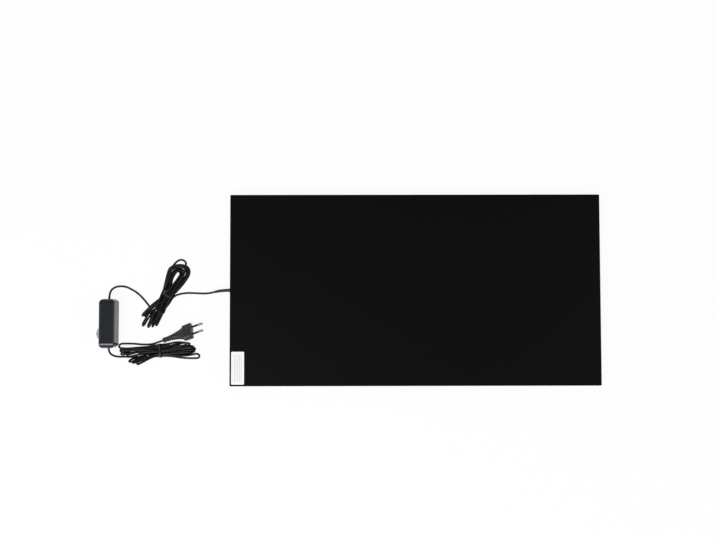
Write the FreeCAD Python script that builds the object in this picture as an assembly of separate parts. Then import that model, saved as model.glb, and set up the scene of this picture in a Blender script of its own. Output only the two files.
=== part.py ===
"""Desk heating panel: a flat sheet-metal panel heater with a dimmer and a two-pin plug on its cord.

Millimetres. The origin is under the middle of the panel, on the surface that it lies on. +X runs
along the panel away from the cord, +Y across it and +Z up. The warm face is turned down.
"""
import FreeCAD
import Part
import math
import os

from FreeCAD import Vector

# Panel casing: two folded pans of sheet steel, one set inside the other
PANEL_LENGTH = 620.0
PANEL_DEPTH = 320.0
PANEL_THICKNESS = 20.0
BACK_SHEET = 1.0
FACE_SHEET = 1.2
PAN_BEND = 2.0
PAN_GAP = 0.2
FACE_PROUD = 1.0
FACE_WALL = 15.0

# Blind rivets through both pans' walls
RIVET_SHANK = 2.4
RIVET_HEAD = 5.0
RIVET_DOME = 0.8
RIVET_TAIL = 3.6
RIVET_TAIL_LENGTH = 2.0
RIVET_HEIGHT = 8.0
RIVET_CORNER = 40.0
RIVETS_LONG_SIDE = 4
RIVETS_SHORT_SIDE = 2
HOLE_GAP = 0.05

# Label on the back
LABEL_WIDTH = 21.5
LABEL_LENGTH = 54.5
LABEL_THICKNESS = 0.15
LABEL_CORNER = 1.5
LABEL_MARGIN = 3.0

# Heater stack between the pans
STACK_MARGIN = 4.0
MAT_THICKNESS = 1.0
CABLE_DIAMETER = 2.0
CABLE_PITCH = 20.0
CABLE_SIDE_MARGIN = 12.0
CABLE_END_MARGIN = 12.0
CABLE_STRIP = 22.0
FOIL_THICKNESS = 0.2
LAY_GAP = 0.1
POCKET_LENGTH = 64.0
POCKET_WIDTH = 70.0

# Wiring in the pocket of the insulation
PLATE_THICKNESS = 2.0
PLATE_INSET = 6.0
CLAMP_AT = 10.0
CLAMP_LENGTH = 6.0
CLAMP_WIDTH = 16.0
CLAMP_BAR = 3.0
CLAMP_SCREW = 2.2
CLAMP_SCREW_HEAD = 4.0
CLAMP_SCREW_HEAD_HEIGHT = 1.2
BLOCK_AT = 28.0
BLOCK_LENGTH = 16.0
BLOCK_WIDTH = 18.0
BLOCK_POLE = 4.5
BLOCK_BORE = 3.2
BLOCK_FLOOR = 3.5
BLOCK_SCREW = 2.8
LIMITER_AT = 30.0
LIMITER_LENGTH = 16.0
LIMITER_WIDTH = 8.0
LIMITER_HEIGHT = 4.0
LIMITER_Y = 24.0
CORE_DIAMETER = 1.4
SPLICE_LENGTH = 10.0
SPLICE_WALL = 0.6

# Cord and the sleeve that it leaves the panel through
CORD_DIAMETER = 3.4
CORD_GAP = 0.1
OUTLET_HEIGHT = 9.0
SLEEVE_LENGTH = 26.0
SLEEVE_BASE = 5.0
SLEEVE_TIP = 4.3
BUSHING_NECK = 6.4
BUSHING_FLANGE = 9.2
BUSHING_FLANGE_THICKNESS = 1.5
TAIL_LENGTH = 20.0
TAIL_MEETS_CORD = 16.0

# Dimmer, lying on its long side, with its wheel on the face away from the panel
DIMMER_OUT = 202.5
DIMMER_Y = -55.1
DIMMER_LENGTH = 82.0
DIMMER_DEPTH = 26.0
DIMMER_WIDTH = 30.0
DIMMER_CORNER = 7.5
DIMMER_EDGE = 3.0
DIMMER_END_ROUNDING = 9.0
DIMMER_WALL = 2.0
COVER_DEPTH = 9.5
POST_END = 5.0
POST_SIDE = 7.0
POST_DIAMETER = 5.2
HOUSING_SCREW = 2.6
HOUSING_SCREW_HEAD = 4.6
HOUSING_SCREW_HEAD_HEIGHT = 1.8
HOUSING_SCREW_SINK = 3.0
SCREW_BITE = 5.0
WHEEL_RADIUS = 12.0
WHEEL_THICKNESS = 5.0
WHEEL_INSET = 6.5
WHEEL_FROM_MIDDLE = -16.8
WHEEL_HEIGHT = 21.0
WHEEL_RIBS = 36
WHEEL_GROOVE = 0.6
WHEEL_SLOT_GAP = 0.5
SPINDLE_DIAMETER = 4.0
SPINDLE_GAP = 0.05
SPINDLE_COLLAR = 6.0
BOARD_HEIGHT = 9.0
BOARD_THICKNESS = 1.6
BOARD_LENGTH = 48.0
BOARD_GAP = 0.4
POT_WIDTH = 8.4
POT_LENGTH = 10.0
POT_HEIGHT = 6.4
DIMMER_CLAMP_AT = 31.5
DIMMER_CLAMP_LENGTH = 4.0
DIMMER_CLAMP_SPAN = 10.4
DIMMER_CLAMP_BAR = 3.0
DIMMER_CLAMP_SCREW = 1.8
DIMMER_TAIL_END = 28.5
TERMINAL_WIDTH = 9.0
TERMINAL_LENGTH = 9.0
TERMINAL_HEIGHT = 7.0
TERMINAL_FROM_MIDDLE = 18.5
TERMINAL_BORE = 2.6
TRIAC_FROM_MIDDLE = 2.0
HEAT_SINK_THICKNESS = 1.5
CHOKE_FROM_MIDDLE = 6.0
CHOKE_RADIUS = 5.5
CAPACITOR_FROM_MIDDLE = 18.0
FUSE_FROM_MIDDLE = -5.3
FUSE_RADIUS = 4.2

# Plug, lying on one edge beside the second hank
PLUG_FRONT_OUT = 63.0
PLUG_FRONT_Y = -67.0
PLUG_HEADING = 19.0
PLUG_ROLL = -50.0
PLUG_WIDTH = 35.3
PLUG_THICKNESS = 13.7
PLUG_SHOULDER = 8.0
PLUG_BODY_LENGTH = 34.0
PLUG_NECK_WIDTH = 10.0
PLUG_NECK_THICKNESS = 9.0
PLUG_TAIL_LENGTH = 17.0
PLUG_TAIL_RIBS = 5
PLUG_TAIL_END = 5.6
PIN_DIAMETER = 4.0
PIN_LENGTH = 19.0
PIN_SPACING = 18.6
PIN_TOE_IN = 1.6
PIN_SHANK = 3.0
PIN_ROOT = 9.0
PIN_SLEEVE_LENGTH = 10.0
PIN_SLEEVE_DIAMETER = 3.5
INSERT_LENGTH = 8.0

# Hanks: loops in layers, drawn in by a tie at the waist
HANK_LAYERS = 4
HANK_LOOPS_PER_LAYER = 2
STRAND_GAP = 0.6
LAYER_GAP = 0.6
HEAD_SPREAD = 2.0
TIE_THICKNESS = 0.7
TIE_WIDTH = 2.6
TIE_GAP = 0.3
TIE_STUB_LENGTH = 12.0
PANEL_HANK = dict(out=111.0, y=-9.5, heading=65.5, side=1, tie_at=5.0,
                  head_reach=42.0, head_core=4.0, head_step=8.2, last_head_extra=9.0,
                  foot_reach=42.0, foot_core=3.2, foot_step=4.9,
                  foot_shift=(3.0, 1.0, -2.0, -7.0), foot_extra=(-4.0, 1.0, 2.0, -8.0))
PANEL_HANK_START = (-14.0, 11.6)
PANEL_HANK_LAST_FOOT = 7.0
PANEL_HANK_LEAVES = (-37.0, -20.5)
PANEL_HANK_LEAVING_TURN = 25.0
MAINS_HANK = dict(out=117.7, y=-103.4, heading=184.1, side=-1, tie_at=0.0,
                  head_reach=46.0, head_core=3.2, head_step=4.0, last_head_extra=0.0,
                  foot_reach=46.0, foot_core=3.2, foot_step=4.9,
                  foot_shift=(-4.0, -1.5, 1.5, 4.0), foot_extra=(-6.0, -2.0, 1.0, 7.0))
MAINS_HANK_TURN_BACK = 13.0
MAINS_HANK_TURN_WIDTH = 8.0

CORD_RADIUS = CORD_DIAMETER / 2
LIE = CORD_RADIUS
LEFT_EDGE = -PANEL_LENGTH / 2
UP = Vector(0, 0, 1)
RIGHT = Vector(1, 0, 0)
AWAY = Vector(0, 1, 0)


def save(name, *shapes):
    """Write one node: a single solid, or a group of separate solids."""
    solids = [solid for shape in shapes for solid in shape.Solids]
    for solid in solids:
        if not solid.isValid() or solid.Volume <= 0:
            raise ValueError(name + " has a bad solid")
    node = solids[0] if len(solids) == 1 else Part.makeCompound(solids)
    node.exportStep(os.path.join("parts", name + ".step"))


def box(low, high):
    size = high - low
    return Part.makeBox(size.x, size.y, size.z, low)


def rod(start, direction, radius, length):
    return Part.makeCylinder(radius, length, start, direction)


def edges_where(shape, test):
    """Edges whose bounding box passes the test."""
    return [edge for edge in shape.Edges if test(edge.BoundBox)]


def rounded_box(low, high, upright, top=0.0, bottom=0.0):
    """Box with rounded upright corners, then rounded top and bottom rims."""
    solid = box(low, high)
    thin = 1e-4
    solid = solid.makeFillet(upright, edges_where(solid, lambda b: b.XLength < thin and b.YLength < thin))
    if top:
        solid = solid.makeFillet(top, edges_where(solid, lambda b: b.ZMin > high.z - thin))
    if bottom:
        solid = solid.makeFillet(bottom, edges_where(solid, lambda b: b.ZMax < low.z + thin))
    return solid


def revolved(outline, start, axis, across):
    """Solid of revolution; the outline holds (distance along the axis, radius) pairs."""
    points = [start + axis * along + across * radius for along, radius in outline]
    face = Part.Face(Part.makePolygon(points + points[:1]))
    return face.revolve(start, axis, 360)


def arc_or_line(start, corner, end):
    """Tangent arc from start to end whose two end tangents meet at the corner."""
    middle = (start + end) * 0.5
    rise = middle - corner
    half_chord = (end - start).Length / 2
    leg = (start - corner).Length
    if rise.Length < 1e-4 * leg:
        return Part.LineSegment(start, end).toShape()
    top = corner + rise * (leg * (leg - half_chord) / rise.Length ** 2)
    return Part.Arc(start, top, end).toShape()


def tube(edges, radius, start, direction):
    """Round tube along tangent edges."""
    section = Part.Wire(Part.Circle(start, direction, radius).toShape())
    return Part.Wire(edges).makePipeShell([section], True, False)


def bent_tube(points, radius, name=None):
    """Tube along straight runs joined by tangent arcs, each as large as its two runs allow."""
    edges = []
    radii = []
    start = points[0]
    for before, corner, after in zip(points, points[1:], points[2:]):
        back = before - corner
        on = after - corner
        leg = 0.45 * min(back.Length, on.Length)
        half_turn = (math.pi - back.getAngle(on)) / 2
        radii.append(leg / math.tan(half_turn))
        entry = corner + back.normalize() * leg
        leave = corner + on.normalize() * leg
        edges.append(Part.LineSegment(start, entry).toShape())
        edges.append(arc_or_line(entry, corner, leave))
        start = leave
    edges.append(Part.LineSegment(start, points[-1]).toShape())
    solid = tube(edges, radius, points[0], points[1] - points[0])
    if name:
        length = sum(edge.Length for edge in edges)
        share = solid.Volume / (math.pi * radius ** 2 * length)
        print(name, "length", round(length, 1), "radii", [round(r, 1) for r in radii], "volume", round(share, 5))
    return solid


def cord_point(out, y, z=LIE):
    """Point on the cord's side of the panel, measured out from the panel's edge."""
    return Vector(LEFT_EDGE - out, y, z)


# Panel casing

back_low = Vector(LEFT_EDGE, -PANEL_DEPTH / 2, FACE_PROUD)
back_high = Vector(-LEFT_EDGE, PANEL_DEPTH / 2, PANEL_THICKNESS)
back_inset = Vector(BACK_SHEET, BACK_SHEET, 0)
back_roof = PANEL_THICKNESS - BACK_SHEET
face_inset = back_inset + Vector(PAN_GAP, PAN_GAP, 0)
face_low = Vector(back_low.x, back_low.y, 0) + face_inset
face_high = Vector(back_high.x, back_high.y, FACE_WALL) - face_inset
inner_low = face_low + Vector(FACE_SHEET, FACE_SHEET, FACE_SHEET)
inner_high = face_high - Vector(FACE_SHEET, FACE_SHEET, 0)
outlet = Vector(LEFT_EDGE, 0, OUTLET_HEIGHT)


def back_pan():
    outer = rounded_box(back_low, back_high, PAN_BEND, top=PAN_BEND)
    hollow = rounded_box(back_low + back_inset - UP, Vector(back_high.x, back_high.y, back_roof) - back_inset,
                         PAN_BEND - BACK_SHEET, top=PAN_BEND - BACK_SHEET)
    return outer.cut(hollow)


def face_pan():
    outer = rounded_box(face_low, face_high, PAN_BEND, bottom=PAN_BEND)
    bend_inside = PAN_BEND - FACE_SHEET
    hollow = rounded_box(inner_low, inner_high + UP, bend_inside, bottom=bend_inside)
    return outer.cut(hollow)


def rivet_seats():
    """Points on the casing's outer walls, with the direction into the panel."""
    seats = []
    reach = PANEL_LENGTH / 2 - RIVET_CORNER
    for index in range(RIVETS_LONG_SIDE):
        x = -reach + 2 * reach * index / (RIVETS_LONG_SIDE - 1)
        for side in (-1, 1):
            seats.append((Vector(x, side * PANEL_DEPTH / 2, RIVET_HEIGHT), AWAY * -side))
    reach = PANEL_DEPTH / 2 - RIVET_CORNER
    for index in range(RIVETS_SHORT_SIDE):
        y = -reach + 2 * reach * index / (RIVETS_SHORT_SIDE - 1)
        for side in (-1, 1):
            seats.append((Vector(side * PANEL_LENGTH / 2, y, RIVET_HEIGHT), RIGHT * -side))
    return seats


wall_stack = BACK_SHEET + PAN_GAP + FACE_SHEET


def rivet(seat, inward):
    shank = RIVET_SHANK / 2
    head = RIVET_HEAD / 2
    tail = RIVET_TAIL / 2
    outline = [(-RIVET_DOME, 0), (-RIVET_DOME, head * 0.5), (-RIVET_DOME * 0.6, head * 0.85), (0, head),
               (0, shank), (wall_stack, shank), (wall_stack, tail),
               (wall_stack + RIVET_TAIL_LENGTH, tail * 0.8), (wall_stack + RIVET_TAIL_LENGTH, 0)]
    return revolved(outline, seat, inward, UP)


def rivet_hole(seat, inward):
    return rod(seat - inward, inward, RIVET_SHANK / 2 + HOLE_GAP, wall_stack + 2)


def cord_bushing():
    """Rubber bushing snapped into both walls, with the tapered sleeve outside."""
    neck = BUSHING_NECK / 2
    flange = BUSHING_FLANGE / 2
    outside = BUSHING_FLANGE_THICKNESS
    inside = wall_stack + BUSHING_FLANGE_THICKNESS
    outline = [(-SLEEVE_LENGTH, 0), (-SLEEVE_LENGTH, SLEEVE_TIP / 2), (-outside, SLEEVE_BASE / 2),
               (-outside, flange), (0, flange), (0, neck), (wall_stack, neck), (wall_stack, flange),
               (inside, flange), (inside, 0)]
    body = revolved(outline, outlet, RIGHT, UP)
    return body.cut(rod(outlet - RIGHT * (SLEEVE_LENGTH + 1), RIGHT, CORD_RADIUS + CORD_GAP,
                        SLEEVE_LENGTH + inside + 2))


bushing_hole = rod(outlet - RIGHT, RIGHT, BUSHING_NECK / 2 + HOLE_GAP, wall_stack + 2)


def label():
    low = Vector(back_low.x + LABEL_MARGIN, back_low.y + LABEL_MARGIN, PANEL_THICKNESS)
    return rounded_box(low, low + Vector(LABEL_WIDTH, LABEL_LENGTH, LABEL_THICKNESS), LABEL_CORNER)


# Heater stack: mat on the warm face, cable on the mat, foil and board over it

stack_low = Vector(inner_low.x + STACK_MARGIN, inner_low.y + STACK_MARGIN, 0)
stack_high = Vector(inner_high.x - STACK_MARGIN, inner_high.y - STACK_MARGIN, 0)
mat_top = FACE_SHEET + MAT_THICKNESS
cable_height = mat_top + LAY_GAP + CABLE_DIAMETER / 2
foil_low = cable_height + CABLE_DIAMETER / 2 + LAY_GAP
board_low = foil_low + FOIL_THICKNESS
board_high = back_roof - LAY_GAP
pocket_end = inner_low.x + POCKET_LENGTH
cable_pitches = (stack_high.y - stack_low.y - 2 * CABLE_SIDE_MARGIN) / CABLE_PITCH
cable_runs = 2 * int((cable_pitches + 1) / 2)


def stack_sheet(low_z, high_z):
    return box(Vector(stack_low.x, stack_low.y, low_z), Vector(stack_high.x, stack_high.y, high_z))


def splice_relief():
    """Cut in the mat that takes the underside of the lead splice."""
    middle = in_pocket(LIMITER_AT + LIMITER_LENGTH / 2, -LIMITER_Y, FACE_SHEET)
    room = Vector(SPLICE_LENGTH / 2 + 1, CABLE_DIAMETER, 0)
    return box(middle - room - UP, middle + room + UP * (MAT_THICKNESS + 1))


def pocket(low_z, high_z):
    return box(Vector(stack_low.x - 1, -POCKET_WIDTH / 2, low_z - 1),
               Vector(pocket_end, POCKET_WIDTH / 2, high_z + 1))


def in_pocket(along, y, z):
    """Point in the wiring pocket, measured in from the inner face of the left wall."""
    return Vector(inner_low.x + along, y, z)


def heating_cable():
    """Serpentine of parallel runs; both ends come back along the left side to the wiring pocket."""
    turn = CABLE_PITCH / 2
    left = pocket_end + CABLE_END_MARGIN + turn
    right = stack_high.x - CABLE_END_MARGIN - turn
    first = -CABLE_PITCH * (cable_runs - 1) / 2
    strip = inner_low.x + CABLE_STRIP
    level = UP * cable_height
    corners = [in_pocket(LIMITER_AT + LIMITER_LENGTH / 2, -LIMITER_Y, cable_height),
               Vector(strip, -LIMITER_Y, cable_height), Vector(strip, first, cable_height)]
    edges = []
    start = corners[0]
    for before, corner, after in zip(corners, corners[1:], corners[2:] + [Vector(left, first, cable_height)]):
        entry = corner + (before - corner).normalize() * turn
        leave = corner + (after - corner).normalize() * turn
        edges += [Part.LineSegment(start, entry).toShape(), arc_or_line(entry, corner, leave)]
        start = leave
    for run in range(cable_runs):
        y = first + run * CABLE_PITCH
        end_x = right if run % 2 == 0 else left
        if run == cable_runs - 1:
            break
        end = Vector(end_x, y, 0) + level
        bulge = turn if run % 2 == 0 else -turn
        top = end + Vector(bulge, turn, 0)
        after = end + Vector(0, CABLE_PITCH, 0)
        edges += [Part.LineSegment(start, end).toShape(), Part.Arc(end, top, after).toShape()]
        start = after
    corners = [Vector(strip, -first, cable_height), Vector(strip, LIMITER_Y, cable_height),
               in_pocket(LIMITER_AT, LIMITER_Y, cable_height)]
    before = start
    for corner, after in zip(corners, corners[1:]):
        reach = min(turn, 0.9 * (after - corner).Length)
        entry = corner + (before - corner).normalize() * reach
        leave = corner + (after - corner).normalize() * reach
        edges += [Part.LineSegment(start, entry).toShape(), arc_or_line(entry, corner, leave)]
        start = leave
        before = corner
    edges.append(Part.LineSegment(start, corners[-1]).toShape())
    return tube(edges, CABLE_DIAMETER / 2, in_pocket(LIMITER_AT + LIMITER_LENGTH / 2, -LIMITER_Y, cable_height),
                RIGHT)


# Wiring in the pocket

plate_low = back_roof - PLATE_THICKNESS
clamp_top = OUTLET_HEIGHT - CORD_RADIUS - CORD_GAP
saddle_low = OUTLET_HEIGHT + CORD_RADIUS + CORD_GAP
clamp_screw_y = CLAMP_WIDTH / 2 - CLAMP_SCREW_HEAD / 2 - 0.5
block_low = OUTLET_HEIGHT - BLOCK_FLOOR
clamp_middle = CLAMP_AT + CLAMP_LENGTH / 2


def clamp_screw_holes():
    """Screw axes of the cord clamp, with the holes through its bar and saddle."""
    reach = saddle_low - clamp_top + CLAMP_BAR + 4
    starts = [in_pocket(clamp_middle, side * clamp_screw_y, clamp_top - CLAMP_BAR) for side in (-1, 1)]
    return [rod(start, UP, CLAMP_SCREW / 2 + HOLE_GAP, reach) for start in starts]


def wiring_plate():
    """Insulating plate bonded under the back pan, with the cord's saddle moulded on."""
    plate = box(in_pocket(PLATE_INSET, PLATE_INSET - POCKET_WIDTH / 2, plate_low),
                in_pocket(POCKET_LENGTH - PLATE_INSET, POCKET_WIDTH / 2 - PLATE_INSET, back_roof))
    saddle = box(in_pocket(CLAMP_AT, -CLAMP_WIDTH / 2, saddle_low),
                 in_pocket(CLAMP_AT + CLAMP_LENGTH, CLAMP_WIDTH / 2, plate_low))
    plate = plate.fuse(saddle).removeSplitter()
    for hole in clamp_screw_holes():
        plate = plate.cut(hole)
    return plate


def cord_clamp():
    bar = box(in_pocket(CLAMP_AT, -CLAMP_WIDTH / 2, clamp_top - CLAMP_BAR),
              in_pocket(CLAMP_AT + CLAMP_LENGTH, CLAMP_WIDTH / 2, clamp_top))
    for hole in clamp_screw_holes():
        bar = bar.cut(hole)
    return bar


def cord_clamp_screws():
    screws = []
    for side in (-1, 1):
        seat = in_pocket(clamp_middle, side * clamp_screw_y, clamp_top - CLAMP_BAR)
        head = rod(seat - UP * CLAMP_SCREW_HEAD_HEIGHT, UP, CLAMP_SCREW_HEAD / 2, CLAMP_SCREW_HEAD_HEIGHT)
        shank = rod(seat, UP, CLAMP_SCREW / 2, saddle_low - clamp_top + CLAMP_BAR + 3)
        screws.append(head.fuse(shank).removeSplitter())
    return screws


def terminal_screw_starts():
    quarter = BLOCK_LENGTH / 4
    return [in_pocket(BLOCK_AT + along, side * BLOCK_POLE, block_low)
            for along in (quarter, 3 * quarter) for side in (-1, 1)]


screw_reach = BLOCK_FLOOR - BLOCK_BORE / 2


def terminal_block():
    block = box(in_pocket(BLOCK_AT, -BLOCK_WIDTH / 2, block_low),
                in_pocket(BLOCK_AT + BLOCK_LENGTH, BLOCK_WIDTH / 2, plate_low))
    for side in (-1, 1):
        block = block.cut(rod(in_pocket(BLOCK_AT - 1, side * BLOCK_POLE, OUTLET_HEIGHT), RIGHT, BLOCK_BORE / 2,
                              BLOCK_LENGTH + 2))
    for start in terminal_screw_starts():
        block = block.cut(rod(start - UP, UP, BLOCK_SCREW / 2 + HOLE_GAP, BLOCK_FLOOR + 1))
    return block


def terminal_screws():
    return [rod(start, UP, BLOCK_SCREW / 2, screw_reach) for start in terminal_screw_starts()]


def thermal_limiter():
    body = rounded_box(in_pocket(LIMITER_AT, LIMITER_Y - LIMITER_WIDTH / 2, mat_top),
                       in_pocket(LIMITER_AT + LIMITER_LENGTH, LIMITER_Y + LIMITER_WIDTH / 2,
                                 mat_top + LIMITER_HEIGHT),
                       1.0)
    return body


def element_lead(side, start_x, start_z):
    """Lead from the heating cable or the limiter round to one pole of the terminal block."""
    turn_x = BLOCK_AT + BLOCK_LENGTH + 10
    pole = side * BLOCK_POLE
    far = side * LIMITER_Y
    return bent_tube([in_pocket(start_x, far, start_z), in_pocket(start_x + 6, far, start_z),
                      in_pocket(turn_x, pole + 0.7 * (far - pole), start_z + 1),
                      in_pocket(turn_x, pole + 0.3 * (far - pole), OUTLET_HEIGHT - 1),
                      in_pocket(BLOCK_AT + BLOCK_LENGTH + 5, pole, OUTLET_HEIGHT),
                      in_pocket(BLOCK_AT + 0.6 * BLOCK_LENGTH, pole, OUTLET_HEIGHT)], CORE_DIAMETER / 2)


def element_leads():
    cable_end = LIMITER_AT + LIMITER_LENGTH / 2
    return [element_lead(-1, cable_end, cable_height),
            element_lead(1, LIMITER_AT + LIMITER_LENGTH, mat_top + LIMITER_HEIGHT / 2)]


def lead_splice():
    """Crimped sleeve round the joint of the heating cable and its lead."""
    start = in_pocket(LIMITER_AT + LIMITER_LENGTH / 2 - SPLICE_LENGTH / 2, -LIMITER_Y, cable_height)
    inner = CABLE_DIAMETER / 2 + HOLE_GAP
    return rod(start, RIGHT, inner + SPLICE_WALL, SPLICE_LENGTH).cut(rod(start, RIGHT, inner, SPLICE_LENGTH))


def cord_tail():
    """Sheathed end of the cord, from the walls to where its cores part."""
    return rod(outlet - RIGHT * TAIL_MEETS_CORD, RIGHT, CORD_RADIUS, TAIL_MEETS_CORD + wall_stack + TAIL_LENGTH)


core_offset = CORD_RADIUS - CORE_DIAMETER / 2 - 0.1


def cord_cores():
    cores = []
    for side in (-1, 1):
        near = side * core_offset
        far = side * BLOCK_POLE
        cores.append(bent_tube([in_pocket(TAIL_LENGTH, near, OUTLET_HEIGHT),
                                in_pocket(TAIL_LENGTH + 3, near, OUTLET_HEIGHT),
                                in_pocket(BLOCK_AT - 2, far, OUTLET_HEIGHT),
                                in_pocket(BLOCK_AT + 0.4 * BLOCK_LENGTH, far, OUTLET_HEIGHT)], CORE_DIAMETER / 2))
    return cores


# Dimmer

dimmer_x = LEFT_EDGE - DIMMER_OUT
dimmer_low = Vector(dimmer_x - DIMMER_DEPTH / 2, DIMMER_Y - DIMMER_LENGTH / 2, 0)
dimmer_high = Vector(dimmer_x + DIMMER_DEPTH / 2, DIMMER_Y + DIMMER_LENGTH / 2, DIMMER_WIDTH)
dimmer_skin = Vector(DIMMER_WALL, DIMMER_WALL, DIMMER_WALL)
parting = dimmer_low.x + COVER_DEPTH
cord_level = DIMMER_WIDTH / 2
board_top = BOARD_HEIGHT + BOARD_THICKNESS


def in_dimmer(across, along, z):
    """Point in the dimmer: across from its wheel face, along from its middle, and up."""
    return Vector(dimmer_low.x + across, DIMMER_Y + along, z)


def round_ended(low, high, radius):
    """Box whose ends roll over into its top and bottom."""
    solid = box(low, high)
    return solid.makeFillet(radius, edges_where(solid, lambda b: b.YLength < 1e-4 and b.ZLength < 1e-4))


def dimmer_case():
    outer = rounded_box(dimmer_low, dimmer_high, DIMMER_CORNER, top=DIMMER_EDGE, bottom=DIMMER_EDGE)
    outer = outer.common(round_ended(dimmer_low - RIGHT, dimmer_high + RIGHT, DIMMER_END_ROUNDING))
    low, high = dimmer_low + dimmer_skin, dimmer_high - dimmer_skin
    hollow = rounded_box(low, high, DIMMER_CORNER - DIMMER_WALL)
    hollow = hollow.common(round_ended(low - RIGHT, high + RIGHT, DIMMER_END_ROUNDING - DIMMER_WALL))
    return outer, hollow


def post_places():
    """Along and height of the four housing screws."""
    along = DIMMER_LENGTH / 2 - POST_END
    return [(side * along, z) for side in (-1, 1) for z in (POST_SIDE, DIMMER_WIDTH - POST_SIDE)]


def wheel_slot():
    inside = WHEEL_INSET - DIMMER_WALL
    half = math.sqrt(WHEEL_RADIUS ** 2 - inside ** 2) + WHEEL_SLOT_GAP
    rise = WHEEL_THICKNESS / 2 + WHEEL_SLOT_GAP
    return box(in_dimmer(-1, WHEEL_FROM_MIDDLE - half, WHEEL_HEIGHT - rise),
               in_dimmer(DIMMER_WALL + 0.1, WHEEL_FROM_MIDDLE + half, WHEEL_HEIGHT + rise))


def dimmer_cover(outer, hollow):
    slab = box(dimmer_low - Vector(1, 1, 1), Vector(parting, dimmer_high.y + 1, dimmer_high.z + 1))
    cover = outer.common(slab).cut(hollow)
    posts = [rod(in_dimmer(DIMMER_WALL / 2, along, z), RIGHT, POST_DIAMETER / 2, COVER_DEPTH - DIMMER_WALL / 2)
             for along, z in post_places()]
    cover = cover.fuse([post.common(outer) for post in posts]).removeSplitter()
    for along, z in post_places():
        start = in_dimmer(COVER_DEPTH - SCREW_BITE, along, z)
        cover = cover.cut(rod(start, RIGHT, HOUSING_SCREW / 2 + HOLE_GAP, SCREW_BITE + 1))
    return cover.cut(wheel_slot())


saddle_across = DIMMER_DEPTH / 2 + CORD_RADIUS + CORD_GAP
clamp_across = DIMMER_DEPTH / 2 - CORD_RADIUS - CORD_GAP
dimmer_screw_offset = (DIMMER_CLAMP_SPAN / 2 + CORD_RADIUS) / 2


def dimmer_clamp_holes():
    holes = []
    for end in (-1, 1):
        for side in (-1, 1):
            start = in_dimmer(clamp_across - DIMMER_CLAMP_BAR, end * DIMMER_CLAMP_AT,
                              cord_level + side * dimmer_screw_offset)
            holes.append((start, rod(start, RIGHT, DIMMER_CLAMP_SCREW / 2 + HOLE_GAP, 13)))
    return holes


def dimmer_base(outer, hollow):
    slab = box(Vector(parting, dimmer_low.y - 1, -1), dimmer_high + Vector(1, 1, 1))
    base = outer.common(slab).cut(hollow)
    depth = DIMMER_DEPTH - COVER_DEPTH
    post_length = depth - DIMMER_WALL / 2
    extras = [rod(in_dimmer(COVER_DEPTH, along, z), RIGHT, POST_DIAMETER / 2, post_length).common(outer)
              for along, z in post_places()]
    for end in (-1, 1):
        middle = end * DIMMER_CLAMP_AT
        extras.append(box(in_dimmer(saddle_across, middle - DIMMER_CLAMP_LENGTH / 2,
                                    cord_level - DIMMER_CLAMP_SPAN / 2),
                          in_dimmer(DIMMER_DEPTH - DIMMER_WALL, middle + DIMMER_CLAMP_LENGTH / 2,
                                    cord_level + DIMMER_CLAMP_SPAN / 2)))
        rail = end * (BOARD_LENGTH / 2 - 3)
        extras.append(box(in_dimmer(COVER_DEPTH, rail - 1.5, DIMMER_WALL),
                          in_dimmer(DIMMER_DEPTH - DIMMER_WALL, rail + 1.5, BOARD_HEIGHT)))
    base = base.fuse(extras).removeSplitter()
    for along, z in post_places():
        base = base.cut(rod(in_dimmer(COVER_DEPTH - 1, along, z), RIGHT, HOUSING_SCREW / 2 + HOLE_GAP, depth + 2))
        base = base.cut(rod(in_dimmer(DIMMER_DEPTH - HOUSING_SCREW_SINK, along, z), RIGHT,
                            HOUSING_SCREW_HEAD / 2 + CORD_GAP, HOUSING_SCREW_SINK + 1))
    for start, hole in dimmer_clamp_holes():
        base = base.cut(hole)
    through = rod(in_dimmer(DIMMER_DEPTH / 2, -DIMMER_LENGTH / 2 - 1, cord_level), AWAY, CORD_RADIUS + CORD_GAP,
                  DIMMER_LENGTH + 2)
    return base.cut(through)


def dimmer_screws():
    screws = []
    for along, z in post_places():
        seat = in_dimmer(DIMMER_DEPTH - HOUSING_SCREW_SINK, along, z)
        head = rod(seat, RIGHT, HOUSING_SCREW_HEAD / 2, HOUSING_SCREW_HEAD_HEIGHT)
        grip = DIMMER_DEPTH - HOUSING_SCREW_SINK - COVER_DEPTH + SCREW_BITE - 0.5
        shank = rod(seat - RIGHT * grip, RIGHT, HOUSING_SCREW / 2, grip)
        screw = head.fuse(shank).removeSplitter()
        slot = box(seat + Vector(HOUSING_SCREW_HEAD_HEIGHT - 0.7, -HOUSING_SCREW_HEAD, -0.4),
                   seat + Vector(HOUSING_SCREW_HEAD_HEIGHT + 1, HOUSING_SCREW_HEAD, 0.4))
        screws.append(screw.cut(slot))
    return screws


wheel_low = WHEEL_HEIGHT - WHEEL_THICKNESS / 2
pot_top = board_top + POT_HEIGHT


def dimmer_wheel():
    start = in_dimmer(WHEEL_INSET, WHEEL_FROM_MIDDLE, wheel_low)
    wheel = rod(start, UP, WHEEL_RADIUS, WHEEL_THICKNESS)
    wheel = wheel.makeChamfer(0.5, wheel.Edges[:1] + wheel.Edges[2:])
    grooves = []
    for rib in range(WHEEL_RIBS):
        angle = 2 * math.pi * rib / WHEEL_RIBS
        middle = start + Vector(math.cos(angle), math.sin(angle), 0) * (WHEEL_RADIUS + WHEEL_GROOVE / 3)
        grooves.append(rod(middle - UP, UP, WHEEL_GROOVE, WHEEL_THICKNESS + 2))
    wheel = wheel.cut(grooves)
    mark = box(start + Vector(-WHEEL_RADIUS * 0.85, -0.5, WHEEL_THICKNESS - 0.5),
               start + Vector(-WHEEL_RADIUS * 0.5, 0.5, WHEEL_THICKNESS + 1))
    return wheel.cut(mark).cut(rod(start - UP, UP, SPINDLE_DIAMETER / 2, WHEEL_THICKNESS + 2))


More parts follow.
